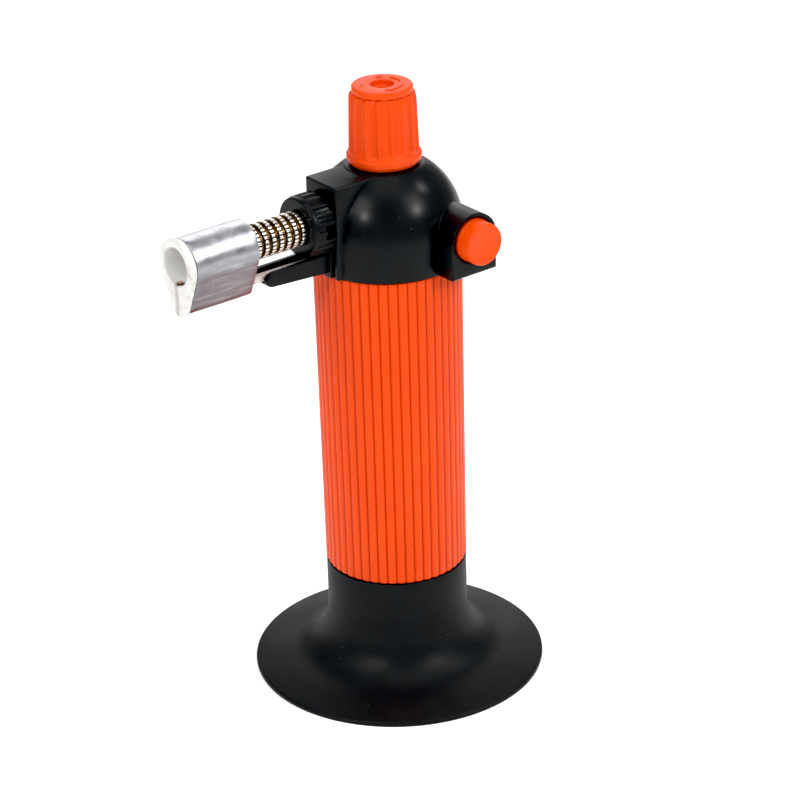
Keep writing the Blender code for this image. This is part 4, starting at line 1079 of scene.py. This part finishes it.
def make_sleeve():
    """The soft clear sleeve over the electrode's wire."""
    rear = low("electrode_tube")[0]
    front = high("electrode_tube")[0]
    edge = 0.1 * MM
    corners = [(TUBE_R, front, edge), (TUBE_R, rear, edge)]
    corners += [(SLEEVE_BORE, rear, edge), (SLEEVE_BORE, front, edge)]
    sleeve = along_x(turned("sleeve_shell", corners, 48), z=TUBE_Z)
    dressed(sleeve, "clear_sleeve", "torch", "electrode_tube")


# ---------------------------------------------------------------- refill valve


def make_refill_nipple():
    """The brass nipple under the tank, with a recessed face round its moving stem."""
    bottom = low("refill_valve_body")[2]
    top = high("refill_valve_body")[2]
    flange_low = TANK_FOOT + 3.9 * MM
    face = bottom + 0.5 * MM
    guide_r = STEM_R + 0.1 * MM
    roof = top - CHAMBER_ROOF
    corners = [
        (NIPPLE_R, top, 0.2 * MM),
        (NIPPLE_R, flange_low + 1.7 * MM, 0),
        (NIPPLE_FLANGE_R, flange_low + 1.4 * MM, 0.2 * MM),
        (NIPPLE_FLANGE_R, flange_low, 0.2 * MM),
        (NIPPLE_R, flange_low, 0),
        (NIPPLE_R, bottom, 0.4 * MM),
        (NIPPLE_MOUTH_R + 0.3 * MM, bottom, 0.15 * MM),
        (NIPPLE_MOUTH_R, face, 0.1 * MM),
        (guide_r, face, 0.1 * MM),
        (guide_r, TANK_FLOOR, 0),
        (CHAMBER_R, TANK_FLOOR, 0),
        (CHAMBER_R, roof, 0),
        (GAS_HOLE_R, roof, 0),
        (GAS_HOLE_R, top, 0.1 * MM),
    ]
    dressed(turned("refill_nipple", corners, 64), "brass", "torch", "refill_valve_body")


def make_refill_stem():
    """The pin that the can's tip pushes in, with its collar inside the nipple."""
    bottom = low("refill_valve_stem")[2]
    top = high("refill_valve_stem")[2]
    collar_low = TANK_FLOOR + GAP
    collar_high = collar_low + STEM_COLLAR_HIGH
    dent_r = 0.6 * MM
    dent_top = bottom + 1.0 * MM
    corners = [
        (0.0, top, 0),
        (STEM_TOP_R, top, 0.2 * MM),
        (STEM_TOP_R, collar_high, 0),
        (STEM_COLLAR_R, collar_high, 0.1 * MM),
        (STEM_COLLAR_R, collar_low, 0.1 * MM),
        (STEM_R, collar_low, 0),
        (STEM_R, bottom, 0.3 * MM),
        (dent_r, bottom, 0.1 * MM),
        (dent_r, dent_top, 0),
        (0.0, dent_top, 0),
    ]
    stem = turned("refill_pin", corners, 48, closed=False)
    dressed(stem, "brass", "refill_stem", "refill_valve_stem")


def make_refill_spring():
    """The coil that shuts the refill pin."""
    coil_r = high("refill_spring")[0] - SPRING_WIRE_R
    bottom = low("refill_spring")[2]
    top = high("refill_spring")[2]
    steps = 36 * SPRING_TURNS
    sides = 12
    work = bmesh.new()
    rings = []
    for i in range(steps + 1):
        angle = math.tau * SPRING_TURNS * i / steps
        height = bottom + SPRING_WIRE_R + (top - bottom - 2 * SPRING_WIRE_R) * i / steps
        ring = []
        for x, rise in arc(coil_r, 0.0, SPRING_WIRE_R, 0, 360, sides)[:-1]:
            ring.append(work.verts.new((x * math.cos(angle), x * math.sin(angle), height + rise)))
        rings.append(ring)
    for first, second in zip(rings, rings[1:]):
        for i in range(sides):
            j = (i + 1) % sides
            work.faces.new((first[i], second[i], second[j], first[j]))
    work.faces.new(rings[0])
    work.faces.new(list(reversed(rings[-1])))
    spring = piece_from("refill_coil", work)
    dressed(spring, "steel", "torch", "refill_spring")
    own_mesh(spring)


def dress_cad_nodes():
    """Better materials for the inner nodes whose CAD shape is kept."""
    slots = {entry["node"]: entry["material_slot"] for entry in frame["record"]["subparts"]}
    for name, node in frame["nodes"].items():
        node.data.materials.clear()
        node.data.materials.append(LOOKS[slots[name]])


# ---------------------------------------------------------------- stage


def area_light(name, azimuth, elevation, distance, size, watts):
    """A square soft light, placed by its direction from the torch and turned towards it."""
    light = bpy.data.lights.new(name, "AREA")
    light.energy = watts
    light.size = size
    turn = math.radians(azimuth)
    rise = math.radians(elevation)
    direction = Vector((math.cos(turn) * math.cos(rise), math.sin(turn) * math.cos(rise), math.sin(rise)))
    made = bpy.data.objects.new(name, light)
    made.location = LIGHT_AIM + direction * distance
    made.rotation_euler = direction.to_track_quat("Z", "Y").to_euler()
    bpy.context.scene.collection.objects.link(made)


def make_lights():
    """Broad soft boxes for the fill, and small near ones for the streaks of light."""
    area_light("soft_left", 5, 42, 1.2, 0.5, 4.0)
    area_light("soft_right", 112, 42, 1.2, 0.5, 3.4)
    area_light("soft_top", 60, 82, 1.2, 0.8, 2.8)
    area_light("soft_back", 232, 30, 1.4, 1.1, 6.0)
    area_light("flash_left", 16, 31, 1.1, 0.03, 2.2)
    area_light("flash_right", 109, 33, 1.0, 0.12, 2.2)
    area_light("flash_back", 151, 46, 1.0, 0.12, 1.2)


def make_stage():
    """The white table, the even light of the room and a slightly deeper black."""
    bpy.ops.mesh.primitive_plane_add(size=FLOOR_SIZE, location=(0.0, 0.0, 0.0))
    floor = bpy.context.active_object
    floor.name = "floor"
    floor.data.materials.append(pale_floor())
    world = bpy.data.worlds.new("studio")
    world.use_nodes = True
    background = world.node_tree.nodes["Background"]
    background.inputs["Color"].default_value = (1.0, 1.0, 1.0, 1.0)
    background.inputs["Strength"].default_value = ROOM_LIGHT
    bpy.context.scene.world = world
    view = bpy.context.scene.view_settings
    view.view_transform = "Standard"
    view.use_curve_mapping = True
    view.curve_mapping.black_level = (BLACK_LEVEL, BLACK_LEVEL, BLACK_LEVEL)
    view.curve_mapping.update()


def make_camera():
    """The photograph's viewpoint: its bearing, height, tilt and slight roll."""
    camera = bpy.data.cameras.new("camera")
    camera.sensor_width = CAMERA_SENSOR
    camera.lens = CAMERA_LENS
    camera.clip_start = 0.01
    made = bpy.data.objects.new("camera", camera)
    across = CAMERA_DISTANCE * math.cos(CAMERA_BEARING)
    aside = CAMERA_DISTANCE * math.sin(CAMERA_BEARING)
    made.location = (across, aside, CAMERA_HEIGHT)
    turn = Matrix.Rotation(CAMERA_TURN, 3, "Z")
    tilt = Matrix.Rotation(CAMERA_TILT, 3, "X")
    roll = Matrix.Rotation(CAMERA_ROLL, 3, "Z")
    made.rotation_euler = (turn @ tilt @ roll).to_euler()
    bpy.context.scene.collection.objects.link(made)
    bpy.context.scene.camera = made


make_camera()
make_stage()
make_lights()
dress_cad_nodes()
make_stand()
make_tank()
make_head()
make_button()
make_knob()
make_cap()
make_air_ring()
make_barrel()
make_shield()
make_ceramic()
make_guide()
make_sleeve()
make_refill_nipple()
make_refill_stem()
make_refill_spring()
